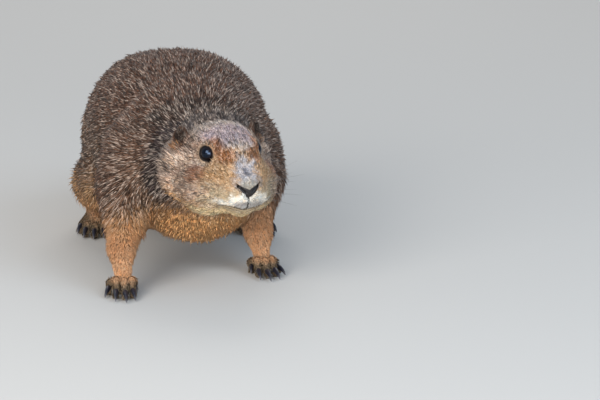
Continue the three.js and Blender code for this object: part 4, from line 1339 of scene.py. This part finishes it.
class PRAIRIEDOG_OT_coat(bpy.types.Operator):
    """Tufts of hair over the skin, in one piece for each part of the body"""

    bl_idname = "prairiedog.coat"
    bl_label = "Coat"

    def execute(self, context):
        settings = context.scene.prairiedog_coat
        rng = np.random.default_rng(settings.seed)
        root = sow(*skin_parts(), tuft_crowding, settings.tufts, rng)
        root = root[~is_bare(root)]
        region = coat_region(root)
        material = coat_material()
        for name in np.unique(region):
            self.grow(f"coat_{name}", root[region == name], rng, settings, material)
        return {"FINISHED"}

    def grow(self, name, root, rng, settings, material):
        """One piece of the coat from its roots. Tufts of one clump share some of their turn, lift and
        chance of being pale or dark."""
        n = len(root)
        normal = unit(slope(skin_field, root)[1])
        depth = coat_depth(root)
        way = lie(root, normal)
        side = np.cross(normal, way)
        cell = np.floor(root / (1 + 0.3 * depth[:, None]) + 0.2 * rng.normal(size=(n, 3))).astype(np.int64)
        shared = rng.random((CLUMPS, 3))[(cell * CLUMP_KEY).sum(1) % CLUMPS]
        turn = 0.14 * waves(root, 26, 5) + 0.3 * (shared[:, 0] - 0.5) + rng.normal(0, 0.1, n)
        way = unit(way + side * turn[:, None])
        back = to_head(root)[:, 1]
        on_cheek = headness(root) * ramp(back, -28, -12) * fall(back, 8, 16)
        guard = rng.random(n) < settings.guard_share
        length = (1.1 + settings.length_share * depth) * rng.uniform(0.7, 1.25, n)
        length = length * (1 + CHEEK_LENGTH * on_cheek) * np.where(guard, GUARD_LENGTH, 1)
        width = tuft_width(depth) * rng.uniform(0.7, 1.3, n)
        height = depth * (0.6 + 0.45 * rng.random(n) + 0.35 * (shared[:, 1] - 0.5))
        height = height * np.where(guard, GUARD_HEIGHT, 1)
        places = tuft_points(root, way, normal, length[:, None], width[:, None], height[:, None])
        places[..., 2] = np.maximum(places[..., 2], COAT_OFF_FLOOR)
        colour, grizzle = markings(root + rng.normal(size=(n, 3)) * (0.2 + 0.3 * depth[:, None]))
        uneven = mix(0.35, 1, grizzle)[:, None]
        shade = 1 + uneven * (0.5 * (shared[:, 2:] - 0.5) + 0.16 * rng.normal(size=(n, 1)))
        redness = 0.2 * (shared[:, :1] - 0.5) + 0.05 * rng.normal(size=(n, 1))
        colour = colour * np.clip(shade, 0.4, 1.7) * (1 + redness * np.array([0.8, 0, -0.8]))
        chance = mix(rng.random(n), shared[:, 2], mix(0.35, 0.6, headness(root)))
        corners = TUFT_ALONG.size
        facts = np.empty((n, corners, 3))
        facts[..., 0] = TUFT_ALONG
        facts[..., 1] = chance[:, None]
        facts[..., 2] = grizzle[:, None]
        patch = MAP_TUFT * (np.stack([TUFT_ACROSS, TUFT_ALONG], -1) - 0.5)
        uv = np.clip(unwrap(root, name.removeprefix("coat_"))[:, None] + patch, 0, 1)
        faces = TUFT_FACES[None] + corners * np.arange(n)[:, None, None]
        piece = make_mesh(
            name, places.reshape(-1, 3), faces.reshape(-1, 3), material,
            np.repeat(colour, corners, axis=0), facts.reshape(-1, 3), uv.reshape(-1, 2),
        )


# The angle from straight ahead of the iris's edge, and how much fuller the eye is before it.
IRIS_EDGE, IRIS_FULLNESS = 0.7, 0.02


class PRAIRIEDOG_OT_eyes(bpy.types.Operator):
    """Both eyes"""

    bl_idname = "prairiedog.eyes"
    bl_label = "Eyes"

    def execute(self, context):
        material = eye_material()
        for name, side in SIDES.items():
            eye = self.ball(f"eyeball_{name}", side, material)
            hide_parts(f"eye_{name}")
        return {"FINISHED"}

    def ball(self, name, side, material):
        """A sphere by two angles that looks outwards, fuller over the iris by a bell: R (1 + f bell)."""
        down, around = ball_angles(49, 64)
        radius = EYE_RADIUS * (1 + IRIS_FULLNESS * bell(down, IRIS_EDGE)) + 0 * around
        across = radius * np.sin(down)
        grid = np.stack([across * np.cos(around), across * np.sin(around), radius * np.cos(down)], -1)
        iris = fall(np.abs(down - IRIS_EDGE), 0.1, 0.3) + 0 * around
        colour = mix(TONES["eye"], TONES["iris"], iris.reshape(-1, 1))
        look = unit(mirror(EYE_OUT, side) @ HEAD_AXES.T)
        aside = unit(np.cross(UP, look))
        axes = np.stack([aside, np.cross(look, aside), look])
        return make_closed(name, grid @ axes + from_head(mirror(EYE_AT, side)), colour, material)


# How much smaller the bare nose is than its node, and how far its middle lies from it.
NOSE_SHARE, NOSE_SHIFT, NOSTRIL_DEPTH = 0.9, (0, 1.1, -0.4), 1.4


class PRAIRIEDOG_OT_nose(bpy.types.Operator):
    """The bare nose in the V of the snout, with its two nostrils"""

    bl_idname = "prairiedog.nose"
    bl_label = "Nose"

    def execute(self, context):
        """An ellipsoid pressed in along a V, whose arms are the nostrils: the depth falls off as a
        bell across the V and is greatest half way out along each arm."""
        down, around = ball_angles(65, 96)
        across = np.sin(down)
        way = np.stack([across * np.cos(around), -np.cos(down) + 0 * around, across * np.sin(around)], -1)
        place = way * np.array(NOSE_HALF) * NOSE_SHARE + np.array(NOSE_SHIFT)
        x, z = np.abs(place[..., 0]), place[..., 2]
        off = z - (-1.9 + 0.62 * x + 0.03 * x * x)
        slit = bell(off, 0.6) * ramp(x, 0.8, 2) * fall(x, 4.6, 5.6) * (place[..., 1] < 0)
        place = place - way * (NOSTRIL_DEPTH * slit)[..., None]
        colour = mix(TONES["nose_pad"], TONES["nostril"], slit.reshape(-1, 1))
        skin = bare_material("nose_skin", 0.48, 1400, 0.6)
        nose = make_closed("nose_pad", from_head(place + np.array(NOSE_AT)), colour, skin)
        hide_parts("nose")
        return {"FINISHED"}


# A claw's rings and the points of each, how its radius falls off, what it is thicker by all along, the
# radius of its last ring, how much higher than wide it is and how far it stays off the floor.
CLAW_RINGS, CLAW_SIDES, CLAW_TAPER, CLAW_LEAST, CLAW_TIP = 22, 14, 0.7, 0.1, 0.02
CLAW_RISE, CLAW_OFF_FLOOR = 1.15, 0.06


class PRAIRIEDOG_OT_claws(bpy.types.Operator):
    """The claws of all four feet"""

    bl_idname = "prairiedog.claws"
    bl_label = "Claws"

    def execute(self, context):
        horn = bare_material("claw_horn", 0.32, 500, 0.25)
        for kind, foot in FEET.items():
            for number, digit in enumerate(foot["digits"], 1):
                claw = self.claw(f"talon_{kind}_{number}", digit["claw"], horn)
                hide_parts(f"claw_{kind}_{number}")
        return {"FINISHED"}

    def claw(self, name, path, material):
        """A tube along the arc (1-t)^2 a + 2t(1-t) b + t^2 c, of radius r (1-t)^taper + least."""
        t = np.linspace(0, 1, CLAW_RINGS)[:, None]
        a, b, c = path
        line = (1 - t) ** 2 * a + 2 * t * (1 - t) * b + t * t * c
        radii = CLAW_RADIUS * (1 - t[:, 0]) ** CLAW_TAPER + CLAW_LEAST
        radii[-1] = CLAW_TIP
        rings = sweep(line, radii, CLAW_SIDES, CLAW_RISE)
        rings[..., 2] = np.maximum(rings[..., 2], CLAW_OFF_FLOOR)
        shade = ramp(t, 0.6, 1) + np.zeros((CLAW_RINGS, CLAW_SIDES))
        colour = mix(TONES["claw"], TONES["claw_end"], shade.reshape(-1, 1))
        return make_closed(name, rings, colour, material)


# Whiskers of each side, how many stand in a column, the seed of their random draws, the points along
# each, the length of the shortest and the longest, and how much they bend back and down at their ends.
WHISKERS, WHISKER_ROWS, WHISKER_SEED, WHISKER_STEPS = 26, 5, 23, 9
WHISKER_LENGTHS, WHISKER_DROOP = (22, 38), np.array([0, 0.22, -0.16])
# What a whisker's radius loses from root to end, and its radius there.
WHISKER_RADIUS, WHISKER_END = 0.11, 0.02


class PRAIRIEDOG_OT_whiskers(bpy.types.Operator):
    """Whiskers on both sides of the muzzle"""

    bl_idname = "prairiedog.whiskers"
    bl_label = "Whiskers"

    def execute(self, context):
        """Each is a tube of three sides along root + (out t + droop t^2) length. They stand in columns,
        one column behind the other."""
        rng = np.random.default_rng(WHISKER_SEED)
        material = bare_material("whisker_hair", 0.4, 300, 0.1)
        t = np.linspace(0, 1, WHISKER_STEPS)[:, None]
        points, faces = [], []
        for side in (LEFT, RIGHT):
            for n in range(WHISKERS):
                column, row = divmod(n, WHISKER_ROWS)
                root = np.array([5.5 + 0.7 * column, -31.5 + 2.6 * column, -7.5 - 1.5 * row])
                root = root + rng.normal(0, 0.3, 3)
                out = np.array([1.0, 0.15 + 0.16 * column, 0.28 - 0.16 * row]) + rng.normal(0, 0.08, 3)
                length = rng.uniform(*WHISKER_LENGTHS)
                line = root + unit(out) * length * t + WHISKER_DROOP * length * t * t
                line = from_head(line * np.array([side, 1, 1]))
                tube, around = closed(sweep(line, WHISKER_RADIUS * (1 - t[:, 0]) + WHISKER_END, 3))
                faces.append(around + len(points) * len(tube))
                points.append(tube)
        points, faces = np.concatenate(points), np.concatenate(faces)
        colour = np.zeros(points.shape) + TONES["whisker"]
        make_mesh("whiskers", points, faces, material, colour)
        return {"FINISHED"}


class PRAIRIEDOG_OT_stage(bpy.types.Operator):
    """Floor, light and camera"""

    bl_idname = "prairiedog.stage"
    bl_label = "Stage"

    def execute(self, context):
        settings = context.scene.prairiedog_stage
        self.floor(context, settings.floor)
        for name, lamp in LAMPS.items():
            self.lamp(context, name, *lamp)
        world = bpy.data.worlds.new("room")
        world.use_nodes = True
        room = world.node_tree.nodes["Background"]
        room.inputs[0].default_value = ROOM_COLOUR
        room.inputs[1].default_value = ROOM_POWER
        context.scene.world = world
        camera = bpy.data.objects.new("camera", bpy.data.cameras.new("camera"))
        context.scene.collection.objects.link(camera)
        a, e = settings.azimuth, settings.elevation
        back = Vector((math.sin(a) * math.cos(e), -math.cos(a) * math.cos(e), math.sin(e)))
        camera.location = AIM + back * settings.distance
        camera.rotation_euler = (-back).to_track_quat("-Z", "Y").to_euler()
        camera.data.lens = settings.lens
        camera.data.clip_start = 0.05
        context.scene.camera = camera
        context.scene.view_settings.view_transform = "Standard"
        return {"FINISHED"}

    def floor(self, context, colour):
        """A square of pale floor under the animal."""
        corners = [(x * FLOOR_HALF, y * FLOOR_HALF, 0) for x, y in ((-1, -1), (1, -1), (1, 1), (-1, 1))]
        mesh = bpy.data.meshes.new("floor")
        mesh.from_pydata(corners, [], [(0, 1, 2, 3)])
        mesh.materials.append(new_material("floor_pale", Base_Color=(*colour, 1), Roughness=0.9)[0])
        floor = bpy.data.objects.new("floor", mesh)
        context.scene.collection.objects.link(floor)

    def lamp(self, context, name, place, power, size, colour):
        """A square soft light at a place, turned towards the animal."""
        data = bpy.data.lights.new(name, "AREA")
        data.energy = power
        data.size = size
        data.color = colour
        lamp = bpy.data.objects.new(name, data)
        lamp.location = place
        lamp.rotation_euler = (Vector(place) - AIM).to_track_quat("Z", "Y").to_euler()
        context.scene.collection.objects.link(lamp)


class PRAIRIEDOG_PT_panel(bpy.types.Panel):
    """The pieces of the prairie dog, in the order they are made"""

    bl_idname = "PRAIRIEDOG_PT_panel"
    bl_label = "Prairie dog"
    bl_space_type = "VIEW_3D"
    bl_region_type = "UI"
    bl_category = "Prairie dog"

    def draw(self, context):
        for operator in OPERATORS:
            self.layout.operator(operator.bl_idname)
        for group in (context.scene.prairiedog_coat, context.scene.prairiedog_stage):
            box = self.layout.box()
            for key in group.__annotations__:
                box.prop(group, key)


OPERATORS = [
    PRAIRIEDOG_OT_stage,
    PRAIRIEDOG_OT_skin,
    PRAIRIEDOG_OT_coat,
    PRAIRIEDOG_OT_eyes,
    PRAIRIEDOG_OT_nose,
    PRAIRIEDOG_OT_claws,
    PRAIRIEDOG_OT_whiskers,
]
CLASSES = [CoatSettings, StageSettings, *OPERATORS, PRAIRIEDOG_PT_panel]


def register():
    """Adds the classes and their settings to Blender."""
    for one in CLASSES:
        bpy.utils.register_class(one)
    bpy.types.Scene.prairiedog_coat = bpy.props.PointerProperty(type=CoatSettings)
    bpy.types.Scene.prairiedog_stage = bpy.props.PointerProperty(type=StageSettings)


def unregister():
    """Takes them away again."""
    del bpy.types.Scene.prairiedog_stage
    del bpy.types.Scene.prairiedog_coat
    for one in reversed(CLASSES):
        bpy.utils.unregister_class(one)


def main():
    """Makes every piece in order."""
    register()
    bpy.ops.prairiedog.stage()
    bpy.ops.prairiedog.skin()
    bpy.ops.prairiedog.coat()
    bpy.ops.prairiedog.eyes()
    bpy.ops.prairiedog.nose()
    bpy.ops.prairiedog.claws()
    bpy.ops.prairiedog.whiskers()


if __name__ == "__main__":
    main()
